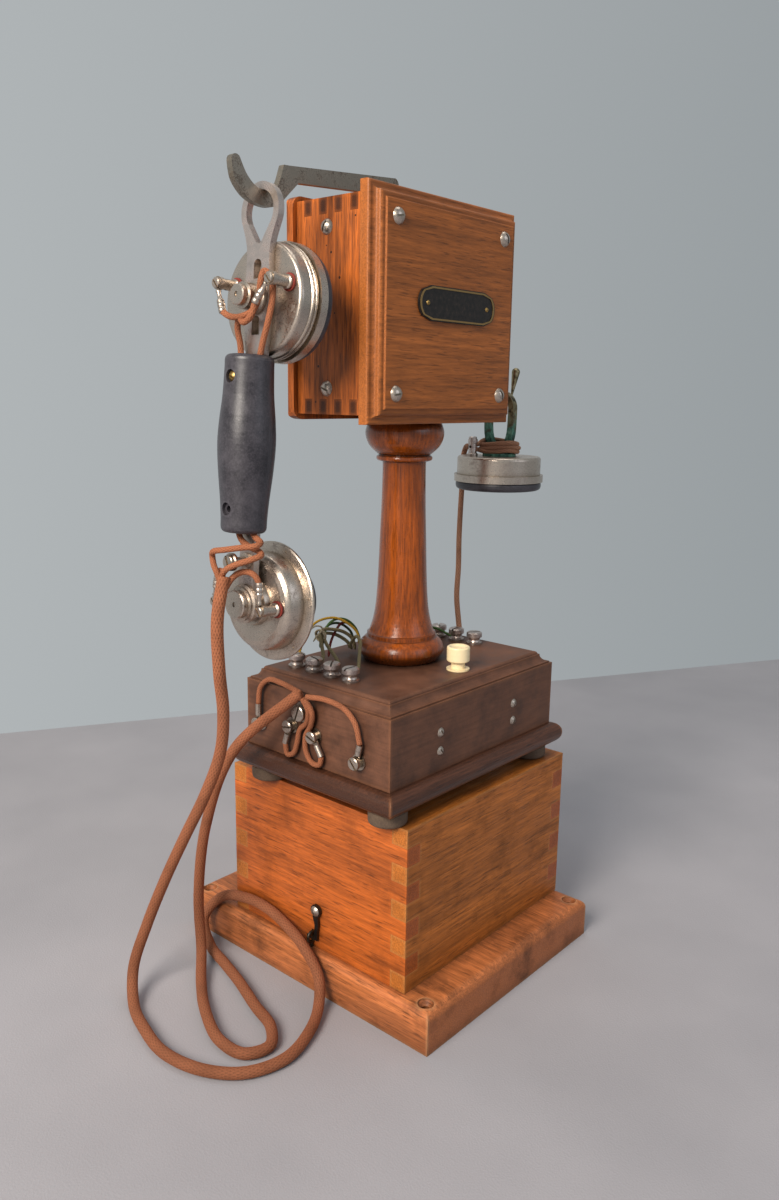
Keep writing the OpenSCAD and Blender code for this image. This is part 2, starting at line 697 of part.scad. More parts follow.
module head_sides() {
    color("peru") for (s = [-1, 1]) translate([head_x + s * (head_w - head_wall) / 2, 0, head_z0]) difference() {
        translate([-head_wall / 2, head_y0, 0]) cube([head_wall, head_d, head_h]);
        for (z = [head_wall / 2, head_h - head_wall / 2]) finger_row(z, 1);
        if (s < 0) for (z = side_screw_z()) translate([0, side_screw_y, z]) facing_left()
            translate([0, 0, -head_wall]) cylinder(d = screw_shank_d, h = 2 * head_wall);
        if (s > 0) for (z = spare_screw_z()) translate([0, col_y, z]) along_x()
            translate([0, 0, -head_wall]) cylinder(d = screw_shank_d, h = 2 * head_wall);
    }
}

// Cuts every second finger, from number from, through a wall at height z
module finger_row(z, from) {
    pitch = head_d / head_fingers;
    for (i = [from:2:head_fingers - 1]) translate([0, head_y0 + (i + 0.5) * pitch, z])
        cube([head_wall + 2 * eps, pitch, head_wall + 2 * eps], center = true);
}

module head_shelf(z) {
    translate([head_x, 0, z]) difference() {
        translate([-head_w / 2, head_y0, 0]) cube([head_w, head_d, head_wall]);
        for (s = [-1, 1]) translate([s * (head_w - head_wall) / 2, 0, 0]) finger_row(head_wall / 2, 0);
    }
}

slot_l = 15;
slot_w = lever_t + 2;
module head_top() {
    color("peru") difference() {
        head_shelf(head_z1 - head_wall);
        translate([pivot_x + 0.5, col_y, head_z1]) cube([slot_l, slot_w, 3 * head_wall], center = true);
    }
}

module head_bottom() {
    color("peru") difference() {
        head_shelf(head_z0);
        translate([col_x, col_y, head_z0 - 1]) cylinder(d = rod_d + 0.6, h = head_wall + 2);
    }
}

// The moulded front panel: square edge, ogee, flat rim, small step and raised field
function front_edge() = concat(
    [[0, 0], [0, front_t - 7]], arc(-1.5, front_t - 7, 1.5, 15, 90, 3),
    [[-2.5, front_t - 5.5]], arc(-2.5, front_t - 3, 2.5, -90, -180, 5), arc(-7, front_t - 3, 2, 15, 90, 4),
    [[-8.4, front_t - 1], [-9.2, front_t]]);

module head_front_panel() {
    color("sienna") difference() {
        translate([head_x, head_y0, head_z0 + head_h / 2]) facing_front()
            edged_slab(head_w + 2 * front_over, head_h + 2 * front_over, front_edge());
        for (p = front_corners()) translate([p[0], head_y0 + 1, p[1]]) facing_front()
            cylinder(d = screw_shank_d + 0.6, h = front_t + 2);
    }
    color("sienna") difference() {
        union() for (s = [-1, 1]) translate([head_x + s * (head_w / 2 - head_wall - 5), head_y0 + 5,
            head_z0 + head_h / 2]) cube([10, 10, head_h - 2 * head_wall - 1], center = true);
        for (p = front_corners()) translate([p[0], head_y0 + 11, p[1]]) facing_front()
            cylinder(d = screw_shank_d, h = 12);
    }
}

module head_back_panel() {
    w = head_w + 2 * back_over;
    h = head_h + 2 * back_over;
    r = 7;
    color("saddlebrown") translate([head_x, head_y1, head_z0 + head_h / 2]) rotate([-90, 0, 0]) intersection() {
        edged_slab(w, h, concat([[0, 0], [0, back_t - 3]], arc(-3, back_t - 3, 3, 15, 90, 4)));
        linear_extrude(back_t) polygon(concat(
            arc(w / 2 - r, h / 2 - r, r, 0, 90, 6), arc(-w / 2 + r, h / 2 - r, r, 90, 180, 6),
            arc(-w / 2 + r, -h / 2 + r, r, 180, 270, 6), arc(w / 2 - r, -h / 2 + r, r, 270, 360, 6)));
    }
}

function front_corners() = [for (x = [-51, 51], z = [-48, 48])
    [head_x + x, head_z0 + head_h / 2 + z]];
side_screw_y = head_y0 + head_d / 2 + 3;
function side_screw_z() = [15, head_h - 16];
function spare_screw_z() = [15.5, 25];

// Every round-headed wood screw of the case, the head box and the spare receiver's hook
module wood_screws() {
    color("silver") on_phone() for (p = front_screw_places()) translate([p[0], -case_d / 2, p[1]])
        facing_front() round_screw(6, 1.6, screw_shank_d, screw_shank_l, 0.9, 20 * p[0]);
    color("silver") {
        for (p = front_corners()) translate([p[0], front_y, p[1]]) facing_front()
            round_screw(9.5, 3, screw_shank_d, front_t + 6, 1.1, 70 + p[0]);
        for (z = side_screw_z()) translate([head_x - head_w / 2, side_screw_y, head_z0 + z]) facing_left()
            round_screw(9, 3, screw_shank_d, head_wall, 1.1, 50 + z);
        for (z = spare_screw_z()) translate([head_x + head_w / 2 + spare_plate_t, col_y, head_z0 + z]) along_x()
            round_screw(6, 2, screw_shank_d, head_wall + spare_plate_t, 1, z);
    }
}

// An oblong plate with stepped round ends, left blank inside its raised border
module plate_outline(grow) {
    notch = 2.5;
    x = name_w / 2 + grow;
    y = name_h / 2 + grow;
    polygon(concat(
        [[-x + 6, -y], [x - 6, -y]], arc(x - 4, 0, 4 + y * 0.55, -50, 50, 8), [[x - 6, y], [-x + 6, y]],
        arc(-x + 4, 0, 4 + y * 0.55, 130, 230, 8)));
}

name_t = 1;
module name_plate() {
    color([0.1, 0.09, 0.08]) translate([head_x + 4, front_y, head_z0 + head_h / 2 + 4]) facing_front() {
        linear_extrude(name_t) difference() {
            plate_outline(0);
            for (s = [-1, 1]) translate([s * (name_w / 2 - 3), 0]) circle(d = 1.6);
        }
        translate([0, 0, name_t]) linear_extrude(0.4) difference() {
            plate_outline(-0.6);
            plate_outline(-1.6);
        }
    }
}

module name_plate_pins() {
    color("goldenrod") for (s = [-1, 1])
        translate([head_x + 4 + s * (name_w / 2 - 3), front_y - name_t, head_z0 + head_h / 2 + 4])
            facing_front() round_screw(3, 1, 1.6, name_t, 0.4, 0);
}

// ---- Hook lever ----

cheek_gap = 0.3;
cheek_t = 2;
module lever_bracket() {
    color("gray") difference() {
        union() {
            translate([pivot_x - 14, col_y - 12, head_z1 - head_wall - 2]) cube([28, 24, 2]);
            for (s = [-1, 1]) translate([pivot_x, col_y + s * (lever_t / 2 + cheek_gap + cheek_t / 2), 0]) {
                translate([-6, -cheek_t / 2, pivot_z]) cube([12, cheek_t, head_z1 - head_wall - 1 - pivot_z]);
                translate([0, cheek_t / 2, pivot_z]) facing_front() cylinder(r = 6, h = cheek_t);
            }
        }
        translate([pivot_x, col_y + 20, pivot_z]) facing_front() cylinder(d = lever_pin_d, h = 40);
        translate([pivot_x + 0.5, col_y, head_z1 - head_wall])
            cube([slot_l, lever_t + 2 * cheek_gap, 8], center = true);
    }
}

module lever_pin() {
    l = lever_t + 2 * cheek_gap + 2 * cheek_t + 2;
    color("silver") translate([pivot_x, col_y + l / 2, pivot_z]) facing_front() cylinder(d = lever_pin_d, h = l);
}

// The lever's outline, x to the right and y up, from the pivot at 0,0. The hook's points are
// measured from the hook's lowest inner point.
module lever_outline() {
    hx = hook_x - pivot_x;
    hz = hook_z - pivot_z;
    function from_hook(p) = [for (q = p) [hx + q[0], hz + q[1]]];
    polygon(concat(
        from_hook(smooth([[13, 15], [10, 7], [7.5, 2.6], [4, 0.4], [0, 0], [-5, 0.6], [-9.5, 3],
            [-13.5, 7], [-16.5, 12]], 4)),
        from_hook(arc(-19.7, 11.6, 3.1, 20, 190, 6)),
        from_hook(smooth([[-22.4, 8], [-20.5, 2], [-14.5, -4], [-7, -7], [1.5, -7.8], [9, -5.6],
            [16.5, 1], [23.5, 7.4]], 4)),
        [[-5, 22.5], [-5, 0]], arc(0, 0, 5, 180, 360, 12), [[5, 24.2]],
        arc(7.6, 29, 4.6, -60, 70, 8), [[hx + 17, hz + 15.2]]));
}

module lever_shape() {
    rotate([90, 0, 0]) translate([0, 0, -lever_t / 2]) linear_extrude(lever_t) difference() {
        lever_outline();
        circle(d = lever_pin_d + 2 * lever_fit);
    }
}

module hook_lever() {
    color("gray") translate([pivot_x, col_y, pivot_z]) lever_shape();
}

// ---- Spare receiver's fixed hook ----

spare_plate_t = 2.5;
spare_rod_d = 6;
spare_out = 44;
spare_x = head_x + head_w / 2 + spare_out;
spare_z = head_z0 + 8;
module spare_hook() {
    wall_x = head_x + head_w / 2;
    low = spare_z;
    color("gray") difference() {
        union() {
            translate([wall_x, col_y - 6, head_z0 + 6]) cube([spare_plate_t, 12, 24]);
            translate([wall_x, col_y, low]) along_x() cylinder(d = spare_rod_d, h = spare_out + 12);
            translate([spare_x + 12, col_y, low]) sphere(d = spare_rod_d + 0.6);
            translate([spare_x + 12, col_y, low]) rotate([0, 14, 0]) rotate_extrude()
                polygon(concat([[0, 0]], arc(0, 22, spare_rod_d / 2, 0, 90, 8)));
        }
        for (z = spare_screw_z()) translate([wall_x - 1, col_y, head_z0 + z]) along_x()
            cylinder(d = screw_shank_d, h = spare_plate_t + 2);
    }
}

// ---- Receivers: a cup from z = 0 up, with its collar, cap and working parts ----

ledge = 3;
seat_z = cup_depth - 4;
module cup(bead = true) {
    difference() {
        rotate_extrude() polygon(concat(
            [[0, 0], [cup_r - 2, 0]], arc(cup_r - 2, 2, 2, -75, 0, 4),
            bead ? concat([[cup_r, cup_depth - 5.5]], arc(cup_r, cup_depth - 4.5, 0.9, -80, 80, 4),
                arc(cup_r, cup_depth - 2, 0.9, -80, 80, 4)) : [],
            [[cup_r, cup_depth], [cup_r - cup_wall, cup_depth], [cup_r - cup_wall, seat_z],
                [cup_r - cup_wall - ledge, seat_z], [cup_r - cup_wall - ledge, cup_wall], [0, cup_wall]]));
        children();
    }
}

module collar() {
    r = cup_r + 2;
    rotate_extrude() polygon([[cup_r - cup_wall, cup_depth], [r, cup_depth], [r, cup_depth + collar_w],
        [cup_r - cup_wall, cup_depth + collar_w]]);
}

// The ear cap fills the collar, clamps the diaphragm and ends in a rounded rim and a dished face
module cap() {
    r = cup_r + 0.8;
    z = cup_depth + collar_w;
    bore = cup_r - cup_wall;
    difference() {
        rotate_extrude() polygon(concat(
            [[0, seat_z + 1.5], [bore - ledge - 1, seat_z + 1.5], [bore - ledge - 1, seat_z + 0.5],
                [bore, seat_z + 0.5], [bore, z], [r - 1.5, z]],
            arc(r - 1.5, z + 1.5, 1.5, -90, 0, 3), arc(r - 3, z + cap_t - 3, 3, 0, 90, 5),
            smooth([[r - 7, z + cap_t - 0.2], [12, z + 1.5], [6, z], [0, z - 0.4]], 4)));
        translate([0, 0, -1]) cylinder(d = 9, h = 3 * cup_depth);
        for (a = [0:60:300]) rotate([0, 0, a]) translate([9, 0, 0]) cylinder(d = 2.6, h = 3 * cup_depth);
    }
}

module diaphragm() { translate([0, 0, seat_z]) cylinder(r = cup_r - cup_wall - 0.2, h = 0.5); }

module magnet() {
    color("firebrick") translate([0, 0, cup_wall]) difference() {
        cylinder(r = 20, h = 3);
        translate([0, 0, -1]) cylinder(r = 14, h = 5);
        translate([-30, -3, -1]) cube([30, 6, 5]);
    }
    color("silver") for (s = [-1, 1]) translate([0, s * 6.5, cup_wall]) {
        translate([-6, -2, 0]) cube([12, 4, seat_z - cup_wall - 0.6]);
        translate([-8, -4.5, 0.6]) cube([16, 9, seat_z - cup_wall - 2.5]);
    }
}

// ---- Handset: drawn from the hook's contact point, x towards the box, z up ----

back_x = frame_t / 2;
grip_z1 = -85;
grip_x = -5;
grip_z0 = grip_z1 - grip_len;
post_reach = 13;
module at_receiver() { translate([back_x, 0, -receiver_drop]) along_x() children(); }
module at_transmitter() { translate([back_x, 0, -transmitter_drop]) along_x() children(); }
function receiver_posts() = [for (s = [-1, 1]) [s * 21, -receiver_drop + 7.5]];
function transmitter_posts() = [for (s = [-1, 1]) [s * 19, -transmitter_drop - 1]];

// The flat bar: a pear-shaped hanging ring, a plate over the receiver, a strap through the grip
// and an eye at the transmitter; y is across and z is up
module frame_outline() {
    in_r = ring_r - ring_band;
    ring_z = -in_r;
    strap = 6;
    difference() {
        union() {
            polygon(concat(
                arc(0, ring_z, ring_r, -28, 208, 28),
                smooth([[-10.5, ring_z - 13], [-9, -30], [-9, -40], [-9.5, -54], [-9, -70], [-7.5, grip_z1 + 3],
                    [-strap, grip_z1 - 3]], 4),
                [[-strap, -transmitter_drop], [strap, -transmitter_drop]],
                smooth([[strap, grip_z1 - 3], [7.5, grip_z1 + 3], [9, -70], [9.5, -54], [9, -40], [9, -30],
                    [10.5, ring_z - 13]], 4)));
            translate([0, -transmitter_drop]) circle(r = 10);
        }
        polygon(concat(arc(0, ring_z, in_r, -32, 212, 28), arc(0, ring_z - 14, 2.6, 215, 325, 6)));
        for (z = [-receiver_drop + 17, -receiver_drop - 12]) translate([0, z]) union() {
            circle(d = 6);
            translate([-3, -7]) square([6, 7]);
        }
        translate([0, -receiver_drop]) circle(d = boss_d - 6);
        translate([0, -transmitter_drop]) circle(d = boss_d - 6);
        for (z = [grip_z1 - 12, grip_z0 + 13]) translate([0, z]) circle(d = 3.6);
        translate([0, stud_z]) circle(d = 4);
    }
}

module handset_frame() {
    color("gray") on_handset() rotate([90, 0, 90]) translate([0, 0, -frame_t / 2])
        linear_extrude(frame_t) frame_outline();
}

boss_d = 14;
module receiver_cup() {
    color("silver") on_handset() at_receiver() cup() {
        translate([0, 0, -1]) cylinder(d = boss_d - 6, h = 5);
        for (s = [-1, 1]) translate([-7.5, s * 21, -1]) cylinder(d = 3.6, h = 5);
    }
}
module receiver_collar() { color("silver") on_handset() at_receiver() collar(); }
module ear_cap() { color([0.08, 0.08, 0.09]) on_handset() at_receiver() cap(); }
module receiver_diaphragm() { color("dimgray") on_handset() at_receiver() diaphragm(); }
module receiver_magnet() { on_handset() at_receiver() magnet(); }

// Stacked nuts that clamp the frame to the receiver and to the transmitter
module handset_nuts() {
    color("silver") on_handset() for (n = [[receiver_drop, 14, 5.5], [transmitter_drop, 8, 8]])
        translate([-back_x, 0, -n[0]]) facing_left() {
            translate([0, 0, -frame_t - cup_wall]) cylinder(d = boss_d - 6, h = frame_t + cup_wall);
            rotate_extrude() polygon([[0, 0], [n[2] + 3, 0], [n[2] + 3, 2], [n[2] + 1.5, 2.6],
                [n[2] + 1.5, n[1] - 4], [n[2], n[1] - 3.6], [n[2], n[1] - 0.6], [n[2] - 0.6, n[1]],
                [1.4, n[1]], [1.2, n[1] - 0.6], [0, n[1] - 0.6]]);
        }
}

// A barrel terminal standing on z = 0, with its cross hole and a slotted clamping screw
module barrel_terminal(l) {
    difference() {
        rotate_extrude() polygon([[0, 0], [3.8, 0], [3.8, 1.6], [3, 2.2], [3, l - 3], [3.5, l - 2.5], [3.5, l],
            [0, l]]);
        translate([-10, 0, l - 5.5]) along_x() cylinder(d = 2, h = 20);
    }
    translate([0, 0, l - eps]) cheese_head(5.8, 1.8, 0.9, 40);
}

washer_t = 0.8;
module handset_terminals() {
    color("silver") on_handset() {
        for (p = receiver_posts()) translate([back_x - washer_t, p[0], p[1]]) facing_left() {
            barrel_terminal(post_reach);
            translate([0, 0, -cup_wall - washer_t - 1]) cylinder(d = 3, h = 4);
        }
        for (p = transmitter_posts()) translate([back_x + bell_step - washer_t, p[0], p[1]]) facing_left() {
            barrel_terminal(post_reach - 1);
            translate([0, 0, -cup_wall - washer_t - 1]) cylinder(d = 3, h = 4);
        }
    }
}

module fibre_washers() {
    color("firebrick") on_handset() {
        for (p = receiver_posts()) translate([back_x, p[0], p[1]]) facing_left() ring_washer();
        for (p = transmitter_posts()) translate([back_x + bell_step, p[0], p[1]]) facing_left() ring_washer();
    }
}

module ring_washer() {
    difference() {
        cylinder(d = 9.5, h = washer_t);
        translate([0, 0, -1]) cylinder(d = 3.4, h = 3);
    }
}

// The turned grip: two halves that close on the strap, cut apart at the frame plate
module grip_body() {
    r = grip_r;
    l = grip_len;
    translate([grip_x, 0, grip_z0]) rotate_extrude() polygon(concat(
        [[0, 0]], arc(r - 6.2, 3, 3, -90, 0, 4),
        smooth([[r - 3.1, 8], [r - 2.4, 18], [r - 0.8, 34], [r, 48], [r - 0.6, 60], [r - 2, 74], [r - 2.6, l - 6]], 4),
        arc(r - 5.6, l - 3, 3, 0, 90, 4), [[0, l]]));
}

module grip_front() {
    color([0.1, 0.1, 0.11]) on_handset() difference() {
        intersection() {
            grip_body();
            translate([-60 - back_x, -30, grip_z0 - 10]) cube([60, 60, grip_len + 20]);
        }
        for (z = [grip_z1 - 12, grip_z0 + 13]) translate([-back_x, 0, z]) facing_left() {
            translate([0, 0, -1]) cylinder(d = 3.6, h = 30);
            translate([0, 0, grip_screw_h]) cylinder(d = 7, h = 10);
        }
        for (s = [-1, 1]) translate([-back_x - 3, s * 7, grip_z0 - 1]) cylinder(d = 5, h = grip_len + 2);
    }
}

module grip_rear() {
    color([0.1, 0.1, 0.11]) on_handset() difference() {
        intersection() {
            grip_body();
            translate([-back_x + gap / 3, -30, grip_z0 - 10]) cube([60, 60, grip_len + 20]);
        }
        translate([-back_x - 1, -strap_slot / 2, grip_z0 - 1]) cube([frame_t + 1, strap_slot, grip_len + 2]);
        for (z = [grip_z1 - 12, grip_z0 + 13]) translate([0, 0, z]) along_x() cylinder(d = 3, h = 6);
        at_receiver() translate([0, 0, -gap]) cylinder(r = cup_r + 1.5, h = 40);
    }
}

strap_slot = 17;
// Height of the grip screw's seat above the frame plate
grip_screw_h = 13.8;
module grip_screw() {
    color("silver") on_handset() translate([-back_x - grip_screw_h, 0, grip_z1 - 12]) facing_left()
        round_screw(6.6, 2, 3, grip_screw_h + frame_t + 3, 1, 60);
}

// The slotted stud below the grip that the cord is knotted round
stud_z = -196;
stud_reach = 14;
module cord_stud() {
    color("silver") on_handset() translate([-back_x, 0, stud_z]) facing_left() {
        translate([0, 0, -frame_t - 1]) cylinder(d = 3.9, h = frame_t + 1);
        rotate_extrude() polygon([[0, 0], [4.5, 0], [4.5, 1.5], [2.6, 2], [2.6, stud_reach - 4.5], [5, stud_reach - 4],
            [5, stud_reach - 2.5], [4, stud_reach - 2], [0, stud_reach - 2]]);
        translate([0, 0, stud_reach - 2 - eps]) cheese_head(8, 2, 1.4, 25);
    }
}

// The nickel bell: a flat back that swells into a dome and ends in a wide flange
bell_step = 3;
bell_depth = 17;
flange_r = 34.3;
module transmitter_bell() {
    wall = 1.5;
    color("silver") on_handset() at_transmitter() difference() {
        rotate_extrude() polygon(concat(
            [[0, 0], [12, 0], [13, bell_step], [22, bell_step]],
            smooth([[24.5, bell_step + 0.6], [27, bell_step + 3], [28, bell_step + 7], [28.4, bell_depth - 2.6]], 4),
            [[flange_r - 0.8, bell_depth - 1.8], [flange_r, bell_depth - 1.2], [flange_r, bell_depth],
                [28.4 - wall, bell_depth]],
            smooth([[28.4 - wall, bell_depth - 2.6], [28 - wall, bell_step + 7.3], [26, bell_step + 4],
                [22, bell_step + wall + 0.5]], 4),
            [[0, bell_step + wall + 0.5]]));
        translate([0, 0, -1]) cylinder(d = boss_d - 6, h = 3);
        for (s = [-1, 1]) translate([1, s * 19, -1]) cylinder(d = 3.6, h = 9);
    }
    color("silver") on_handset() at_transmitter() for (a = [20:60:320]) rotate([0, 0, a])
        translate([31.4, 0, bell_depth - 1.6]) facing_left() rotate([0, -90, 0]) rivet();
}

module rivet() { mirror([0, 0, 1]) round_screw(2, 0.8, 1.2, 1, 0.01, 0); }

capsule_r = 24;
module carbon_capsule() {
    color("goldenrod") on_handset() at_transmitter() translate([0, 0, bell_depth - 7]) cylinder(r = capsule_r, h = 7);
}

// The ebonite mouthpiece: a ring on the flange with a pierced, dished middle
module mouthpiece() {
    color([0.08, 0.08, 0.09]) on_handset() at_transmitter() difference() {
        rotate_extrude() polygon(concat(
            [[0, bell_depth], [29, bell_depth]], arc(27.5, bell_depth + 2.5, 1.5, 0, 60, 3),
            smooth([[25, bell_depth + 5], [22, bell_depth + 9], [21.5, bell_depth + 13]], 3),
            arc(20, bell_depth + 13, 1.5, 0, 180, 6),
            smooth([[18, bell_depth + 12], [12, bell_depth + 5], [0, bell_depth + 3]], 3)));
        for (a = [0:45:315]) rotate([0, 0, a]) translate([6, 0, bell_depth - 1]) cylinder(d = 2.4, h = 12);
        translate([0, 0, bell_depth - 1]) cylinder(d = 2.4, h = 12);
    }
}

// ---- Spare receiver: hangs with its axis upright and its ear cap down ----

spare_ring_r = 8;
spare_ring_h = 41;
spare_cup_z = spare_z - spare_rod_d / 2 - spare_ring_h + 5.5;
module at_spare() { translate([spare_x, col_y, spare_cup_z]) rotate([180, 0, 0]) children(); }

// A flat horseshoe with its bow over the hook rod and two feet on the cup
module spare_ring() {
    w = 4.5;
    t = 5;
    bow_z = spare_ring_r;
    h = spare_ring_h - 5.5;
    color("olivedrab") translate([spare_x, col_y, spare_cup_z]) difference() {
        rotate([90, 0, 90]) translate([0, 0, -t / 2]) linear_extrude(t) difference() {
            union() {
                translate([0, spare_inner_z]) circle(r = spare_ring_r + w);
                polygon(concat(
                    smooth([[-spare_ring_r - w, spare_inner_z], [-12, 16], [-9, 6], [-8.5, 0]], 4),
                    smooth([[8.5, 0], [9, 6], [12, 16], [spare_ring_r + w, spare_inner_z]], 4)));
            }
            translate([0, spare_inner_z]) circle(r = spare_ring_r);
            polygon(concat(
                smooth([[-spare_ring_r, spare_inner_z], [-7.4, 17], [-4, 8]], 4),
                smooth([[4, 8], [7.4, 17], [spare_ring_r, spare_inner_z]], 4)));
        }
    }
    color("olivedrab") translate([spare_x, col_y, spare_cup_z]) cylinder(d = 24, h = 2);
}
// The bow's centre above the cup, so that its inside rests just over the rod
spare_inner_z = spare_z + spare_rod_d / 2 + gap - spare_ring_r - spare_cup_z;

module spare_cup() { color("silver") at_spare() { cup(false); collar(); } }
module spare_cap() { color([0.08, 0.08, 0.09]) at_spare() cap(); }
module spare_magnet() { at_spare() { magnet(); color("dimgray") diaphragm(); } }
module spare_terminal() {
    color("silver") translate([spare_x - 15, col_y + 13, spare_cup_z]) barrel_terminal(12);
}

base_board();
box_end_panels();
box_side_panels();
box_top();
dry_cells();
cell_terminals();
latch_eyes();
latch_screws();
latch_left();
latch_right();
feet();
base_plate();
case_shell();
terminal_posts();
terminal_screws();
side_terminals();
induction_coil();
contact_springs();
button_bush();
call_button();
button_spring();
column();
tie_rod();
head_sides();
head_top();
head_bottom();
head_front_panel();
head_back_panel();
wood_screws();
name_plate();
name_plate_pins();
lever_bracket();
lever_pin();
hook_lever();
spare_hook();
handset_frame();
receiver_cup();
receiver_collar();
ear_cap();
receiver_diaphragm();
receiver_magnet();
handset_nuts();
handset_terminals();
fibre_washers();
grip_front();
grip_rear();
grip_screw();
cord_stud();
transmitter_bell();
mouthpiece();
carbon_capsule();
spare_ring();
spare_cup();
spare_cap();
spare_magnet();
spare_terminal();
handset_cord();
handset_cord_top();
spare_cord();
spare_cord_top();
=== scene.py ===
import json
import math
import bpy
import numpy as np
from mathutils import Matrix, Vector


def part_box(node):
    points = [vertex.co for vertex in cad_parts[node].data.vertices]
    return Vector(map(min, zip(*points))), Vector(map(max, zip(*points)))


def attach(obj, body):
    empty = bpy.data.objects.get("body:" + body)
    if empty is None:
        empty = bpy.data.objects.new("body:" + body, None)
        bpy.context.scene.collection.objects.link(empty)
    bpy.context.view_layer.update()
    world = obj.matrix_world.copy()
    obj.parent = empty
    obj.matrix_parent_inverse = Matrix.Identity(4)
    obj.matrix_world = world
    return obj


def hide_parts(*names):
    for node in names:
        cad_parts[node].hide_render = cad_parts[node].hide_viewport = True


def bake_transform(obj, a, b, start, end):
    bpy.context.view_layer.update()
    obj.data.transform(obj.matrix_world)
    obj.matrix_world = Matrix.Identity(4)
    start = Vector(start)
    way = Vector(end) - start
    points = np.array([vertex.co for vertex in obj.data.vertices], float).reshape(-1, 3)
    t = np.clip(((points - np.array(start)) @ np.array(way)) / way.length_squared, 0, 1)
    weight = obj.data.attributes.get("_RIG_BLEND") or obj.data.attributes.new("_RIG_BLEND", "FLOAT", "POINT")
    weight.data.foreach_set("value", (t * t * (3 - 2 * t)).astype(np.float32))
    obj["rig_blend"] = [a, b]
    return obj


bl_info = {
    "name": "Column telephone on a battery box",
    "version": (1, 0, 0),
    "blender": (4, 5, 0),
    "location": "3D View > Sidebar > Telephone",
    "description": "Dresses the telephone's frame with its wood, nickel, ebonite and braided cords",
    "category": "Object",
}

import bpy
from mathutils import Matrix, Vector

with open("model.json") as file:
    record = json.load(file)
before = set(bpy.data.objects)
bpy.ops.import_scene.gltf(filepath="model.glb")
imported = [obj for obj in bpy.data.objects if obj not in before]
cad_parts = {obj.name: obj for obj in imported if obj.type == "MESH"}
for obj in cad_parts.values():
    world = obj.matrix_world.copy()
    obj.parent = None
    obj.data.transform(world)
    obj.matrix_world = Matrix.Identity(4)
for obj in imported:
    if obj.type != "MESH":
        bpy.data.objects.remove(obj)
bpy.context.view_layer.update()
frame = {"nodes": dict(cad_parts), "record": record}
NODES = frame["nodes"]
SLOT_OF = {part["node"]: part["material_slot"] for part in frame["record"]["subparts"]}

MM = 0.001
PER_MM = 1000.0

# The handset hangs from its ring at this point, leaning by this angle
HANG_POINT = (-0.125, -0.014, 0.487)
HANG_TILT = math.radians(4)

# Centre lines of the cords, in millimetres
HANDSET_ROUTE = [
    (-157, -14, 285), (-162, -14, 262), (-160, -12, 232), (-153, -6, 204), (-148, 4, 176),
    (-149, 18, 146), (-153, 34, 115), (-158, 49, 83), (-164, 62, 49), (-171, 69, 18),
    (-181, 55, 4), (-191, 29, 4), (-196, 2, 4), (-190, -26, 4), (-175, -46, 4),
    (-152, -54, 4), (-128, -48, 4), (-107, -36, 6), (-97, -26, 18), (-95.5, -11, 32),
    (-91, 8, 36), (-88.5, 32, 40), (-88.5, 56, 39), (-91, 78, 32), (-100, 87, 16),
    (-108, 70, 5), (-114, 48, 4), (-121, 24, 4), (-131, -4, 4), (-138, -26, 4),
    (-151, -39, 4), (-165, -33, 4), (-167, -13, 4), (-155, 16, 4), (-138, 42, 4),
    (-122, 62, 13), (-117, 70, 46), (-118, 58, 104), (-117, 28, 164), (-99, -12, 205),
]
TAIL_ROUTES = {
    "front": [(-99, -18, 204), (-97.5, -32, 205), (-95.5, -46, 202), (-95.5, -55, 195), (-95.5, -59, 183)],
    "near": [(-98.5, -16, 202), (-97, -20.5, 194), (-95.5, -18, 185), (-95.5, -13.5, 177), (-95.5, -13.5, 168),
             (-95.5, -18.5, 161.2), (-95.5, -25.5, 161.5), (-95.5, -27, 167)],
    "far": [(-98.5, -13.5, 202), (-97, -17, 195), (-95.5, -14.5, 186), (-95.5, -8.5, 180), (-95.5, -6, 171),
            (-95.5, -2.5, 163), (-95.5, 3, 161), (-95.5, 5, 168)],
    "back": [(-98.5, -12, 205), (-97, 6, 207), (-95.5, 20, 206), (-95.5, 28, 199), (-95.5, 30, 188)],
}
SPARE_ROUTE = [
    (95, 9, 346), (101.5, 17.5, 345.5), (103, 21.5, 336), (103, 21.5, 318), (98, 18.5, 298),
    (90, 13, 278), (81, 6, 258), (72, 0, 238), (67, -6, 222), (62.5, -11, 213),
]

# Conductors on the handset, in its own millimetres: x towards the box, z up from the hook
GRIP_TO_EAR = {
    "left": [(-5, 7, -92), (-5.5, 7.5, -80), (-7.5, 8, -71), (-10, 4, -66.5), (-12.5, -3, -69), (-13, -9, -66),
             (-12.5, -11, -60)],
    "right": [(-5, -7, -92), (-5.5, -10, -80), (-6, -14.5, -68), (-5, -16, -56), (-5, -14.5, -46),
              (-6, -10, -42.5), (-8, -9.8, -48), (-9, -10, -56), (-10.5, -7, -63), (-12, 1, -66), (-12.5, 9, -65.5),
              (-12, 15, -63)],
}
GRIP_TO_CORD = {
    "upper": [(-5, -5, -176), (-4.5, -9, -181.5), (-6, -15.5, -184), (-10, -16.5, -185.5), (-15, -10, -187),
              (-18.5, -1, -189), (-18, 9, -191), (-14.5, 14.5, -194), (-14.5, 13, -199), (-16.5, 7, -203.5),
              (-17.7, 2.2, -209)],
    "lower": [(-5, 5, -176), (-5.5, 2, -183), (-6, -6, -187), (-5.5, -14, -189), (-7.5, -18, -190.5),
              (-12.5, -15.5, -193), (-17, -8, -196.5), (-18.5, -2, -200), (-18, 1, -204), (-17.7, -1.5, -209)],
}
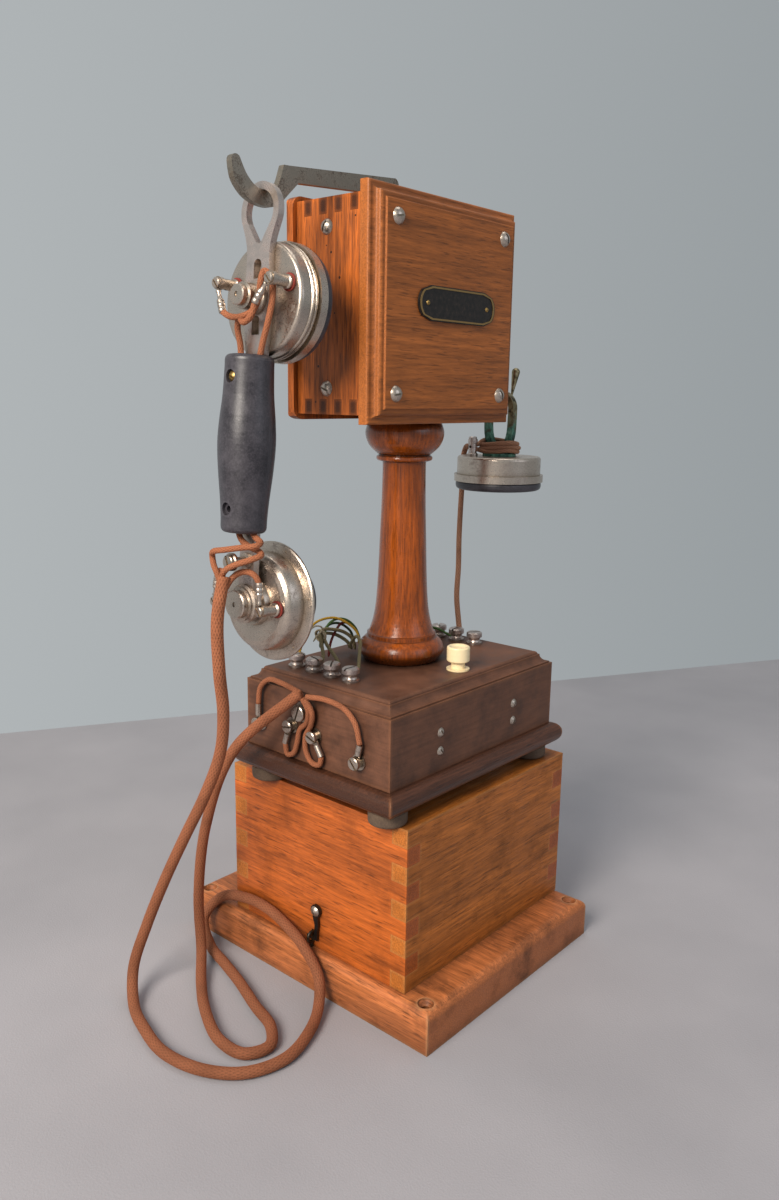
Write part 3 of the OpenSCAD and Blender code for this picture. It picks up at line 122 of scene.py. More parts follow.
MOUTH_TO_CORD = {
    "right": [(-8.6, -18.6, -207), (-9, -17.5, -203.5), (-9.5, -12, -200.5), (-11, -5, -201.5), (-14, -2, -205),
              (-17, -1, -210)],
    "left": [(-10, 14.5, -206), (-11, 12, -202.5), (-13, 7.5, -203), (-16, 3, -207), (-17.5, 1, -211)],
}

# Cotton-covered wires on top of the case, in millimetres: colour name, diameter and points
CASE_WIRES = {
    "ochre": (1.7, [(-71, 20, 213.5), (-66, 22, 219.8), (-58, 25, 228.4), (-45, 27, 234.2), (-32, 24, 234.9),
                    (-26, 18, 231.3), (-25, 10, 226.2), (-29, 4, 219.8)]),
    "olive_one": (2.4, [(-66, 4, 213), (-60, 7, 216.2), (-56, 12, 221.2), (-53, 17, 227.7), (-48, 20, 229.8),
                        (-38, 22, 228.4), (-27, 20, 224.8), (-22, 17, 219.8), (-20, 16, 212)]),
    "olive_two": (2.4, [(-66, -11, 213), (-60, -7, 214.7), (-55, 2, 217.6), (-52, 12, 222.6), (-49, 18, 227),
                        (-42, 23, 226.2), (-30, 24, 222.6), (-24, 20, 217.6), (-21, 18, 212)]),
    "olive_three": (2.2, [(-66, -28, 213), (-61, -25, 214.5), (-55, -20, 217.6), (-49, -15, 222.6),
                          (-42, -9, 226.2), (-36, 0, 227), (-32, 7, 222.6), (-31, 12, 216.2)]),
    "leaf": (1.7, [(-52, 16, 219.8), (-46, 20, 227), (-37, 24, 232), (-28, 25, 233.4), (-20, 24, 231.3),
                   (-14, 22, 225.5), (-10, 21, 216.9)]),
    "moss": (1.8, [(-50, 20, 218.3), (-43, 25, 224.8), (-33, 28, 229.8), (-24, 27, 229.1), (-17, 24, 223.4),
                   (-13, 24, 215.4)]),
    "brick": (1.8, [(-46, 16, 212), (-40, 20, 219.8), (-32, 23, 226.2), (-24, 25, 229.8), (-17, 24, 228.4),
                    (-12, 22, 221.9), (-9, 22, 213)]),
    "brick_right": (1.8, [(8, 21, 213), (16, 22, 219), (27, 20, 223.4), (38, 17, 222.6), (48, 19, 217.6),
                          (52, 20, 213.5)]),
    "olive_right": (2.2, [(5, 20, 213), (14, 18, 221.2), (26, 15, 226.2), (38, 10, 225.5), (47, 6, 219),
                          (52, 4, 213.5)]),
    "leaf_right": (1.7, [(10, 19, 212), (20, 17, 217.6), (30, 12, 219.8), (42, -4, 219.8), (51, -12, 213.5)]),
}

# Radii of the wires' string tie and of the spare receiver's winding, which is pulled a little thinner than its cord
STRING_RADIUS = 0.55 * MM
WINDING_RADIUS = 1.6 * MM

# Camera: place in metres, angles in degrees, and its focal length for a frame 1200 high. The sensor's long side
# is in millimetres
CAMERA_PLACE = (-0.48391, -0.41904, 0.38307)
CAMERA_AZIMUTH, CAMERA_PITCH, CAMERA_ROLL = -48.9023, 12.0861, 0.8498
FOCAL_LENGTH, FRAME_HEIGHT, SENSOR_SIDE = 959.41, 1200, 36.0

# The table's far edge runs just behind the telephone; depth and thickness are in metres
TABLE_FAR_EDGE = (Vector((-0.62, 0.94, 0)), Vector((1.10, -0.02, 0)))
TABLE_DEPTH, TABLE_THICKNESS, TABLE_OVERRUN = 2.6, 0.02, 0.9

# The room's strength and its colours from left to right, and the lamps: name, place, size, watts and colour
ROOM_STRENGTH = 0.9
ROOM_COLOURS = ("#b9bec0", "#9fa5a8")
LAMPS = (
    ("Window", (-1.5, -0.25, 1.15), 0.9, 40.0, "#fff6ea"),
    ("Room fill", (0.2, -1.6, 1.0), 1.2, 3.5, "#e9f0ff"),
    ("Ceiling", (0.3, 0.2, 1.9), 1.2, 7.0, "#fdf8f0"),
)
LAMP_TARGET = Vector((-0.02, 0.0, 0.25))


def linear(hex_colour):
    """An sRGB hex colour as linear red, green, blue and alpha."""
    parts = [int(hex_colour[i:i + 2], 16) / 255 for i in (1, 3, 5)]
    return tuple(c / 12.92 if c <= 0.04045 else ((c + 0.055) / 1.055) ** 2.4 for c in parts) + (1.0,)


def colour_property(name, description, hex_colour):
    """A colour that a user may change."""
    return bpy.props.FloatVectorProperty(
        name=name, description=description, subtype="COLOR", size=4, min=0.0, max=1.0, default=linear(hex_colour)
    )


def length_property(name, description, metres):
    """A size that a user may change."""
    return bpy.props.FloatProperty(
        name=name, description=description, default=metres, min=0.0, unit="LENGTH", subtype="DISTANCE", precision=5
    )


class TelephoneWoods(bpy.types.PropertyGroup):
    """Colours of the wooden pieces"""

    box: colour_property("Battery box", "Varnished beech of the battery box's long sides", "#b95e24")
    box_end: colour_property("Battery box ends", "Faded beech of the battery box's ends", "#ab6327")
    board: colour_property("Base board", "Varnished softwood of the base board", "#b0673a")
    head: colour_property("Head box", "Oiled walnut of the head box's sides", "#ad5a20")
    panel: colour_property("Front panel", "Waxed walnut of the head box's moulded panel", "#9b5826")
    column: colour_property("Column", "Polished mahogany of the turned column", "#9f4b0b")
    case: colour_property("Case", "Brown paint of the telephone's case", "#62402f")
    plate: colour_property("Base plate", "Black stain of the moulded base plate", "#4b2c1e")


class TelephoneFinishes(bpy.types.PropertyGroup):
    """Colours of the metals, the moulded pieces and the cords"""

    nickel: colour_property("Nickel", "Worn nickel plate of the receivers and screws", "#d0c2b4")
    old_nickel: colour_property("Spotted nickel", "Dull nickel plate of the handset's frame and the posts", "#d8cac2")
    steel: colour_property("Steel", "Dull steel of the switch hook", "#9d9487")
    ebonite: colour_property("Ebonite", "Hard rubber of the grip and the ear caps", "#27252a")
    ivory: colour_property("Ivory casein", "Casein of the call button", "#f3dfb4")
    cotton: colour_property("Cord cotton", "Braided cotton of the cords", "#955c40")


class TelephoneSizes(bpy.types.PropertyGroup):
    """Sizes of the cords and of worn edges"""

    cord: length_property("Cord", "Diameter of the handset cord", 0.007)
    spare_cord: length_property("Spare cord", "Diameter of the spare receiver's cord", 0.004)
    tail: length_property("Tail", "Diameter of the cords' tails and conductors", 0.0034)
    edge: length_property("Wood edge", "Radius of the worn edges of the wooden pieces", 0.0006)


# ---- Mesh helpers ----


def millimetres(points):
    """Points in millimetres, as vectors in metres."""
    return [Vector(p) * MM for p in points]


def on_handset(points):
    """Points in the handset's own millimetres, as points of the frame in metres."""
    turn = Matrix.Rotation(HANG_TILT, 4, "Y")
    return [Vector(HANG_POINT) + turn @ (Vector(p) * MM) for p in points]


def smooth_path(points, step):
    """A centripetal curve through the points, sampled about every step metres."""
    first = points[0] * 2 - points[1]
    last = points[-1] * 2 - points[-2]
    knots = [first] + list(points) + [last]
    path = []
    for i in range(1, len(knots) - 2):
        p0, p1, p2, p3 = knots[i - 1:i + 3]
        t1 = max((p1 - p0).length, 1e-9) ** 0.5
        t2 = t1 + max((p2 - p1).length, 1e-9) ** 0.5
        t3 = t2 + max((p3 - p2).length, 1e-9) ** 0.5
        count = max(2, round((p2 - p1).length / step))
        for k in range(count):
            t = t1 + (t2 - t1) * k / count
            a1 = p0 * ((t1 - t) / t1) + p1 * (t / t1)
            a2 = p1 * ((t2 - t) / (t2 - t1)) + p2 * ((t - t1) / (t2 - t1))
            a3 = p2 * ((t3 - t) / (t3 - t2)) + p3 * ((t - t2) / (t3 - t2))
            b1 = a1 * ((t2 - t) / t2) + a2 * (t / t2)
            b2 = a2 * ((t3 - t) / (t3 - t1)) + a3 * ((t - t1) / (t3 - t1))
            path.append(b1 * ((t2 - t) / (t2 - t1)) + b2 * ((t - t1) / (t2 - t1)))
    path.append(points[-1].copy())
    return path


def mesh_object(name, vertices, faces, smooth=True):
    """A mesh object in the scene, with its faces shaded smooth or flat."""
    mesh = bpy.data.meshes.new(name)
    mesh.from_pydata([tuple(v) for v in vertices], [], faces)
    mesh.update()
    mesh.polygons.foreach_set("use_smooth", [smooth] * len(mesh.polygons))
    made = bpy.data.objects.new(name, mesh)
    bpy.context.scene.collection.objects.link(made)
    return made


def tube(name, path, radii, sides=16):
    """A closed tube along the path; radii is one radius, or one for each point.
    Its UV map runs once round in U, and in V by millimetres along."""
    if not hasattr(radii, "__len__"):
        radii = [radii] * len(path)
    tangents = [(path[min(i + 1, len(path) - 1)] - path[max(i - 1, 0)]).normalized() for i in range(len(path))]
    side = tangents[0].cross(Vector((0, 0, 1)) if abs(tangents[0].z) < 0.8 else Vector((1, 0, 0))).normalized()
    vertices, along, distance = [], [], 0.0
    for i, (point, tangent, radius) in enumerate(zip(path, tangents, radii)):
        side = (side - tangent * side.dot(tangent)).normalized()
        up = tangent.cross(side)
        if i:
            distance += (point - path[i - 1]).length
        along.append(distance * PER_MM)
        for k in range(sides):
            angle = 2 * math.pi * k / sides
            vertices.append(point + (side * math.cos(angle) + up * math.sin(angle)) * radius)
    faces, coordinates = [], []
    for i in range(len(path) - 1):
        for k in range(sides):
            n = (k + 1) % sides
            faces.append((i * sides + k, i * sides + n, (i + 1) * sides + n, (i + 1) * sides + k))
            u0, u1 = k / sides, (k + 1) / sides
            coordinates += [(u0, along[i]), (u1, along[i]), (u1, along[i + 1]), (u0, along[i + 1])]
    for ring, order in ((0, range(sides - 1, -1, -1)), (len(path) - 1, range(sides))):
        faces.append(tuple(ring * sides + k for k in order))
        coordinates += [(k / sides, along[ring]) for k in order]
    made = mesh_object(name, vertices, faces)
    layer = made.data.uv_layers.new(name="UVMap")
    layer.data.foreach_set("uv", [c for pair in coordinates for c in pair])
    return made


def rounded_ends(path, radius, steps=3):
    """Radii that close a tube of the path with short rounded ends."""
    radii = [radius] * len(path)
    for i in range(min(steps, len(path) // 2)):
        radii[i] = radii[-1 - i] = radius * math.sin(math.pi / 2 * (i + 0.6) / (steps + 0.6))
    return radii


def turned(name, profile, origin, axis, sides=48):
    """A closed turned piece: profile is (radius, height) in millimetres along the axis from origin."""
    rotation = Vector((0, 0, 1)).rotation_difference(Vector(axis).normalized())
    vertices, faces = [], []
    for radius, height in profile:
        for k in range(sides):
            angle = 2 * math.pi * k / sides
            local = Vector((radius * math.cos(angle), radius * math.sin(angle), height)) * MM
            vertices.append(Vector(origin) + rotation @ local)
    for i in range(len(profile) - 1):
        for k in range(sides):
            n = (k + 1) % sides
            faces.append((i * sides + k, i * sides + n, (i + 1) * sides + n, (i + 1) * sides + k))
    faces.append(tuple(range(sides - 1, -1, -1)))
    faces.append(tuple((len(profile) - 1) * sides + k for k in range(sides)))
    return mesh_object(name, vertices, faces)


def finish_piece(piece, material, body):
    """Gives a piece its material, and its body unless it bends between two."""
    piece.data.materials.clear()
    piece.data.materials.append(material)
    if "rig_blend" not in piece:
        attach(piece, body)
    return piece


# ---- Material helpers ----

# Samples for rounded edges and for how closed in a place is
EDGE_SAMPLES = 4
# A banded wave at scale 1 repeats every 0.63 units
WAVE_SPAN = 0.63


def add(tree, kind, inputs=None, stops=None, **settings):
    """Adds a node with its settings. Each input is a value, or a socket to link from; stops are a ramp's colours."""
    made = tree.nodes.new(kind)
    for name, value in settings.items():
        setattr(made, name, value)
    if stops:
        elements = made.color_ramp.elements
        while len(elements) < len(stops):
            elements.new(0.5)
        for element, (place, colour) in zip(elements, stops):
            element.position = place
            element.color = (colour,) * 3 + (1,) if isinstance(colour, (int, float)) else colour
    for key, value in (inputs or {}).items():
        if isinstance(value, bpy.types.NodeSocket):
            tree.links.new(value, made.inputs[key])
        else:
            made.inputs[key].default_value = value
    return made


def new_material(name):
    """An empty material and its node tree."""
    material = bpy.data.materials.new(name)
    material.use_nodes = True
    material.node_tree.nodes.clear()
    return material, material.node_tree


def surface(tree, inputs):
    """Ends a material in its shader, which takes these values and sockets."""
    shader = add(tree, "ShaderNodeBsdfPrincipled", inputs)
    add(tree, "ShaderNodeOutputMaterial", {"Surface": shader.outputs[0]})


def shade(colour, factor):
    """The colour made lighter or darker, and opaque."""
    return tuple(min(1.0, c * factor) for c in colour[:3]) + (1.0,)


def in_millimetres(tree, squeeze=(1.0, 1.0, 1.0), shift=(0, 0, 0)):
    """The piece's own coordinates in millimetres. A pattern is drawn out along an axis squeezed below 1."""
    place = add(tree, "ShaderNodeTexCoord")
    return add(tree, "ShaderNodeMapping", {"Vector": place.outputs["Object"], "Location": shift,
                                           "Scale": [PER_MM * part for part in squeeze]}).outputs[0]


def layered(tree, ground, *layers):
    """The ground colour under layers, each a mask, a colour and, where it isn't plain, a way to blend."""
    for mask, colour, *way in layers:
        ground = add(tree, "ShaderNodeMix", {0: mask, 6: ground, 7: colour}, data_type="RGBA",
                     blend_type=way[0] if way else "MIX").outputs[2]
    return ground


def closed_in(tree, reach_mm, closed, opened, amount, inside=False):
    """A mask of corners within reach_mm, or with inside of outer edges, that fades to none in the open."""
    sky = add(tree, "ShaderNodeAmbientOcclusion", {"Distance": reach_mm * MM}, inside=inside, samples=EDGE_SAMPLES)
    return add(tree, "ShaderNodeMapRange", {"Value": sky.outputs["AO"], "From Min": closed, "From Max": opened,
                                            "To Min": amount, "To Max": 0.0}).outputs[0]


def varnished_wood(name, grain, colour, *, line_mm=4.0, pore=0.7, contrast=0.45, gloss=0.38, coat=0.1, worn=0.25,
                   corner_shade=0.5, end=0.45, stain=0.0, shift=(0, 0, 0), flecks=0.0, streak=0.5, shade_mm=10,
                   bare=None):
    """Wood with its grain along one axis: wavy growth lines, short dark pores, dark end grain,
    pale rubbed edges, painted shade in the corners and a thin, uneven varnish."""
    material, tree = new_material(name)
    even = in_millimetres(tree)
    drawn_out = in_millimetres(tree, [0.05 if axis == grain else 1.0 for axis in "XYZ"], shift)
    fibres = in_millimetres(tree, [0.06 if axis == grain else 1.0 for axis in "XYZ"])

    # Growth lines line_mm apart, in a figure about 17 mm wide across the grain
    lines = add(tree, "ShaderNodeTexWave", {"Vector": drawn_out, "Scale": WAVE_SPAN / line_mm, "Distortion": 9.0,
                                            "Detail": 3.0, "Detail Scale": 0.35, "Detail Roughness": 0.6},
                wave_type="BANDS", bands_direction="DIAGONAL")
    bands = add(tree, "ShaderNodeMapRange", {"Value": lines.outputs[1], "To Min": 0.0, "To Max": contrast * 0.75})
    figure = add(tree, "ShaderNodeTexNoise", {"Vector": drawn_out, "Scale": 0.06, "Detail": 5.0,
                                              "Roughness": 0.6, "Distortion": 0.8})
    dark, light = shade(colour, 1 - contrast), shade(colour, 1 + contrast * 0.75)
    ground = add(tree, "ShaderNodeValToRGB", {"Fac": figure.outputs[0]},
                 [(0.30, dark), (0.5, colour), (0.70, light)]).outputs[0]

    # Fibres 1.8 mm wide and pores 0.7 mm wide. Real pores are near 0.2 mm: drawn coarser so that they show
    streaks = add(tree, "ShaderNodeTexNoise", {"Vector": fibres, "Scale": 0.55, "Detail": 4.0, "Roughness": 0.7})
    tone = add(tree, "ShaderNodeValToRGB", {"Fac": streaks.outputs[0]}, [(0.34, 0.15), (0.5, 0.5), (0.66, 0.85)])
    pores = add(tree, "ShaderNodeTexNoise", {"Vector": fibres, "Scale": 1.35, "Detail": 1.0, "Roughness": 0.5})
    pits = add(tree, "ShaderNodeValToRGB", {"Fac": pores.outputs[0]}, [(0.30, 1.0), (0.40, 0.0)])
    dark_pits = add(tree, "ShaderNodeMath", {0: pits.outputs[0], 1: pore}, operation="MULTIPLY")

    # End grain wherever the surface faces along the grain, speckled at 0.9 mm
    facing = add(tree, "ShaderNodeSeparateXYZ", {0: add(tree, "ShaderNodeTexCoord").outputs["Normal"]})
    along = add(tree, "ShaderNodeMath", {0: facing.outputs["XYZ".index(grain)]}, operation="ABSOLUTE")
    ends = add(tree, "ShaderNodeMath", {0: along.outputs[0], 1: 0.75}, operation="GREATER_THAN")
    speckle = add(tree, "ShaderNodeTexNoise", {"Vector": even, "Scale": 1.1, "Detail": 3.0})
    end_colour = add(tree, "ShaderNodeValToRGB", {"Fac": speckle.outputs[0]},
                     [(0.3, shade(colour, end * 0.65)), (0.7, shade(colour, end * 1.2))])

    # Damp stains about 30 mm wide, and worm holes 11 mm apart
    patches = add(tree, "ShaderNodeTexNoise", {"Vector": even, "Scale": 0.035, "Detail": 6.0, "Roughness": 0.65})
    stains = add(tree, "ShaderNodeValToRGB", {"Fac": patches.outputs[0]}, [(0.50, 0.0), (0.72, stain)])
    spots = add(tree, "ShaderNodeTexVoronoi", {"Vector": even, "Scale": 0.09, "Randomness": 1.0})
    holes = add(tree, "ShaderNodeMath", {0: spots.outputs["Distance"], 1: flecks}, operation="LESS_THAN")

    # The last layer is painted shade: corners within shade_mm darkened towards an eighth of the colour
    finished = layered(
        tree, ground, (bands.outputs[0], dark), (streak, tone.outputs[0], "OVERLAY"),
        (dark_pits.outputs[0], shade(colour, 0.3)), (ends.outputs[0], end_colour.outputs[0]),
        (stains.outputs[0], shade(colour, 0.18)), (holes.outputs[0], shade(colour, 0.06)),
        (closed_in(tree, 2.2, 0.55, 1.0, worn, inside=True), linear(bare) if bare else shade(colour, 1.5)),
        (closed_in(tree, shade_mm, 0.35, 0.95, corner_shade), shade(colour, 0.12)))
    roughness = add(tree, "ShaderNodeMapRange", {"Value": patches.outputs[0], "From Min": 0.3, "From Max": 0.7,
                                                 "To Min": gloss - 0.07, "To Max": gloss + 0.12})
    height = add(tree, "ShaderNodeMath", {0: pits.outputs[0], 1: -1.0, 2: streaks.outputs[0]},
                 operation="MULTIPLY_ADD")
    rounding = add(tree, "ShaderNodeBevel", {"Radius": bpy.context.scene.telephone_sizes.edge},
                   samples=EDGE_SAMPLES)
    bump = add(tree, "ShaderNodeBump", {"Height": height.outputs[0], "Distance": 0.12 * MM, "Strength": 0.6,
                                        "Normal": rounding.outputs[0]})
    surface(tree, {"Base Color": finished, "Roughness": roughness.outputs[0], "Normal": bump.outputs[0],
                   "IOR": 1.5, "Coat Weight": coat, "Coat Roughness": 0.22, "Specular IOR Level": 0.3})
    return material


def painted_wood(name, colour, *, chip="#8a5a3c", gloss=0.5, worn=0.55):
    """Oil paint on wood: brushed, dust-flecked, rubbed through to the wood at the edges, and with painted shade in
    its corners.
    """
    material, tree = new_material(name)
    even = in_millimetres(tree)
    # Brush strokes 2 mm apart, clouded patches 25 mm wide and grit of 1 mm, coarser than real dust
    strokes = add(tree, "ShaderNodeTexNoise", {"Vector": in_millimetres(tree, (0.08, 0.08, 1.0)), "Scale": 0.5,
                                               "Detail": 4.0})
    brushed = add(tree, "ShaderNodeValToRGB", {"Fac": strokes.outputs[0]}, [(0.35, 0.3), (0.65, 0.7)])
    patches = add(tree, "ShaderNodeTexNoise", {"Vector": even, "Scale": 0.04, "Detail": 6.0, "Roughness": 0.7})
    ground = add(tree, "ShaderNodeValToRGB", {"Fac": patches.outputs[0]},
                 [(0.34, shade(colour, 0.62)), (0.5, colour), (0.68, shade(colour, 1.35))]).outputs[0]
    grit = add(tree, "ShaderNodeTexNoise", {"Vector": even, "Scale": 0.9, "Detail": 3.0})
    specks = add(tree, "ShaderNodeValToRGB", {"Fac": grit.outputs[0]}, [(0.62, 0.0), (0.72, 0.35)])
    # Bare wood shows in broken stretches of the edges
    edges = closed_in(tree, 2.5, 0.5, 0.98, worn, inside=True)
    broken = add(tree, "ShaderNodeMath", {0: edges, 1: patches.outputs[0]}, operation="MULTIPLY")
    chipped = add(tree, "ShaderNodeMath", {0: broken.outputs[0], 1: 1.7}, operation="MULTIPLY", use_clamp=True)
    # The last layer is painted shade: corners within 8 mm darkened towards a fifth of the colour
    finished = layered(
        tree, ground, (0.3, brushed.outputs[0], "OVERLAY"), (specks.outputs[0], shade(colour, 0.3)),
        (chipped.outputs[0], linear(chip)), (closed_in(tree, 8, 0.35, 0.95, 0.6), shade(colour, 0.2)))
    roughness = add(tree, "ShaderNodeMapRange", {"Value": patches.outputs[0], "From Min": 0.3, "From Max": 0.7,
                                                 "To Min": gloss - 0.1, "To Max": gloss + 0.12})
    rounding = add(tree, "ShaderNodeBevel", {"Radius": bpy.context.scene.telephone_sizes.edge},
                   samples=EDGE_SAMPLES)
    bump = add(tree, "ShaderNodeBump", {"Height": strokes.outputs[0], "Distance": 0.15 * MM, "Strength": 0.5,
                                        "Normal": rounding.outputs[0]})
    surface(tree, {"Base Color": finished, "Roughness": roughness.outputs[0], "Normal": bump.outputs[0],
                   "IOR": 1.5, "Specular IOR Level": 0.35})
    return material


def worn_plate(name, colour, *, spots="#4a3c42", spotting=0.5, gloss=0.28, base="#6d5a3c"):
    """Metal that has been handled for a century: cloudy, spotted, and brown in its corners."""
    material, tree = new_material(name)
    even = in_millimetres(tree)
    # Clouds 9 mm wide, and spots of about 0.8 mm
    cloud = add(tree, "ShaderNodeTexNoise", {"Vector": even, "Scale": 0.11, "Detail": 6.0, "Roughness": 0.7,
                                             "Distortion": 0.5})
    grit = add(tree, "ShaderNodeTexNoise", {"Vector": even, "Scale": 1.3, "Detail": 4.0, "Roughness": 0.65})
    fine = add(tree, "ShaderNodeMath", {0: grit.outputs[0], 1: 0.38}, operation="MULTIPLY")
    both = add(tree, "ShaderNodeMath", {0: cloud.outputs[0], 1: 0.62, 2: fine.outputs[0]},
               operation="MULTIPLY_ADD")
    mask = add(tree, "ShaderNodeValToRGB", {"Fac": both.outputs[0]}, [(0.50, 0.0), (0.60, spotting)]).outputs[0]
    ground = add(tree, "ShaderNodeValToRGB", {"Fac": cloud.outputs[0]},
                 [(0.3, shade(colour, 0.78)), (0.6, colour), (0.75, shade(colour, 1.15))]).outputs[0]
    finished = layered(tree, ground, (mask, linear(spots)), (closed_in(tree, 4, 0.3, 0.9, 0.75), linear(base)))
    rubbed = add(tree, "ShaderNodeMapRange", {"Value": grit.outputs[0], "From Min": 0.3, "From Max": 0.7,
                                              "To Min": gloss - 0.05, "To Max": gloss + 0.1})
    roughness = add(tree, "ShaderNodeMath", {0: mask, 1: 0.45, 2: rubbed.outputs[0]}, operation="MULTIPLY_ADD")
    bump = add(tree, "ShaderNodeBump", {"Height": grit.outputs[0], "Distance": 0.04 * MM, "Strength": 0.35})
    surface(tree, {"Base Color": finished, "Roughness": roughness.outputs[0], "Normal": bump.outputs[0],
                   "Metallic": 1.0})
    return material


def moulded(name, colour, *, bloom="#4a464a", amount=0.35, gloss=0.36, bump_mm=0.03, coat=0.0):
    """A moulded or turned solid colour with a cloudy bloom and fine scuffs: ebonite, casein, fibre or rubber."""
    material, tree = new_material(name)
    even = in_millimetres(tree)
    # A bloom in clouds 11 mm wide, and scuffs of 1 mm, coarser than real ones so that they show
    cloud = add(tree, "ShaderNodeTexNoise", {"Vector": even, "Scale": 0.09, "Detail": 7.0, "Roughness": 0.72})
    haze = add(tree, "ShaderNodeValToRGB", {"Fac": cloud.outputs[0]}, [(0.38, 0.0), (0.68, amount)])
    grit = add(tree, "ShaderNodeTexNoise", {"Vector": even, "Scale": 1.0, "Detail": 4.0, "Roughness": 0.7})
    grains = add(tree, "ShaderNodeValToRGB", {"Fac": grit.outputs[0]}, [(0.45, 0.0), (0.7, amount)])
    pale = linear(bloom)
    finished = layered(tree, colour, (haze.outputs[0], pale), (grains.outputs[0], pale),
                       (closed_in(tree, 2, 0.5, 1.0, 0.35, inside=True), pale))
    roughness = add(tree, "ShaderNodeMapRange", {"Value": cloud.outputs[0], "From Min": 0.3, "From Max": 0.7,
                                                 "To Min": gloss - 0.08, "To Max": gloss + 0.14})
    bump = add(tree, "ShaderNodeBump", {"Height": grit.outputs[0], "Distance": bump_mm * MM, "Strength": 0.5})
    surface(tree, {"Base Color": finished, "Roughness": roughness.outputs[0], "Normal": bump.outputs[0],
                   "IOR": 1.5, "Coat Weight": coat, "Coat Roughness": 0.2})
    return material


def braided_cotton(name, colour, strands, pitch_mm):
    """Cotton braided over rubber: two sets of strands cross on the slant. Real strands are about
    half as wide; they are drawn coarser so that the braid shows."""
    material, tree = new_material(name)
    even = in_millimetres(tree)
    place = add(tree, "ShaderNodeTexCoord")
    split = add(tree, "ShaderNodeSeparateXYZ", {0: place.outputs["UV"]})
    round_it = add(tree, "ShaderNodeMath", {0: split.outputs[0], 1: 2 * math.pi * strands}, operation="MULTIPLY")
    along = add(tree, "ShaderNodeMath", {0: split.outputs[1], 1: 2 * math.pi / pitch_mm}, operation="MULTIPLY")
    waves = []
    for direction in ("ADD", "SUBTRACT"):
        phase = add(tree, "ShaderNodeMath", {0: round_it.outputs[0], 1: along.outputs[0]}, operation=direction)
        waves.append(add(tree, "ShaderNodeMath", {0: phase.outputs[0]}, operation="SINE").outputs[0])
    braid = add(tree, "ShaderNodeMath", {0: waves[0], 1: waves[1]}, operation="MAXIMUM")
    level = add(tree, "ShaderNodeMapRange", {"Value": braid.outputs[0], "From Min": -1.0, "From Max": 1.0})
    # Painted shade and highlight: the braid's grooves painted darker and its crowns lighter than the cotton
    ground = add(tree, "ShaderNodeValToRGB", {"Fac": level.outputs[0]},
                 [(0.0, shade(colour, 0.62)), (0.6, colour), (1.0, shade(colour, 1.18))]).outputs[0]

    # Fluff of 0.6 mm, soiling every 20 mm, and the cord darker towards the table, fading out 220 mm up
    wool = add(tree, "ShaderNodeTexNoise", {"Vector": even, "Scale": 1.6, "Detail": 4.0, "Roughness": 0.7})
    fluff = add(tree, "ShaderNodeValToRGB", {"Fac": wool.outputs[0]}, [(0.35, 0.25), (0.65, 0.8)])
    soiling = add(tree, "ShaderNodeTexNoise", {"Vector": even, "Scale": 0.05, "Detail": 5.0})
    soiled = add(tree, "ShaderNodeValToRGB", {"Fac": soiling.outputs[0]}, [(0.48, 0.0), (0.7, 0.5)])
    low = add(tree, "ShaderNodeSeparateXYZ", {0: place.outputs["Object"]}).outputs[2]
    darker_low = add(tree, "ShaderNodeMapRange", {"Value": low, "From Max": 220 * MM, "To Min": 0.5, "To Max": 0.0})
    finished = layered(tree, ground, (soiled.outputs[0], shade(colour, 0.4)), (darker_low.outputs[0], shade(colour, 0.45)),
                       (0.35, fluff.outputs[0], "OVERLAY"))
    height = add(tree, "ShaderNodeMath", {0: wool.outputs[0], 1: 0.5, 2: level.outputs[0]},
                 operation="MULTIPLY_ADD")
    bump = add(tree, "ShaderNodeBump", {"Height": height.outputs[0], "Distance": 0.3 * MM, "Strength": 0.7})
    surface(tree, {"Base Color": finished, "Normal": bump.outputs[0], "Roughness": 0.85, "IOR": 1.45,
                   "Sheen Weight": 0.35, "Sheen Roughness": 0.5, "Sheen Tint": shade(colour, 1.4),
                   "Specular IOR Level": 0.25})
    return material


def tarnished_ring(name, low_z, high_z):
    """Brass under worn nickel: grey-gold at the top, with a crust of verdigris at the foot."""
    material, tree = new_material(name)
    height = add(tree, "ShaderNodeSeparateXYZ", {0: add(tree, "ShaderNodeTexCoord").outputs["Object"]}).outputs[2]
    # Crust in clouds 4.5 mm wide, thicker towards the foot
    cloud = add(tree, "ShaderNodeTexNoise", {"Vector": in_millimetres(tree), "Scale": 0.22, "Detail": 6.0,
                                             "Roughness": 0.7})
    climb = add(tree, "ShaderNodeMapRange", {"Value": height, "From Min": low_z, "From Max": high_z,
                                             "To Min": 0.42, "To Max": -0.2})
    crust = add(tree, "ShaderNodeMath", {0: climb.outputs[0], 1: cloud.outputs[0]}, operation="ADD")
    mask = add(tree, "ShaderNodeValToRGB", {"Fac": crust.outputs[0]}, [(0.52, 0.0), (0.66, 1.0)]).outputs[0]
    metal = add(tree, "ShaderNodeValToRGB", {"Fac": cloud.outputs[0]},
                [(0.35, linear("#3f3a30")), (0.5, linear("#8f8263")), (0.7, linear("#b8ab8d"))]).outputs[0]
    green = add(tree, "ShaderNodeValToRGB", {"Fac": cloud.outputs[0]},
                [(0.4, linear("#1f3a33")), (0.55, linear("#4b7a68")), (0.7, linear("#7fa894"))]).outputs[0]
    bare = add(tree, "ShaderNodeMath", {0: 1.0, 1: mask}, operation="SUBTRACT")
    roughness = add(tree, "ShaderNodeMapRange", {"Value": mask, "To Min": 0.38, "To Max": 0.85})
    bump = add(tree, "ShaderNodeBump", {"Height": cloud.outputs[0], "Distance": 0.3 * MM, "Strength": 0.5})
    surface(tree, {"Base Color": layered(tree, metal, (mask, green)), "Metallic": bare.outputs[0],
                   "Roughness": roughness.outputs[0], "Normal": bump.outputs[0]})
    return material


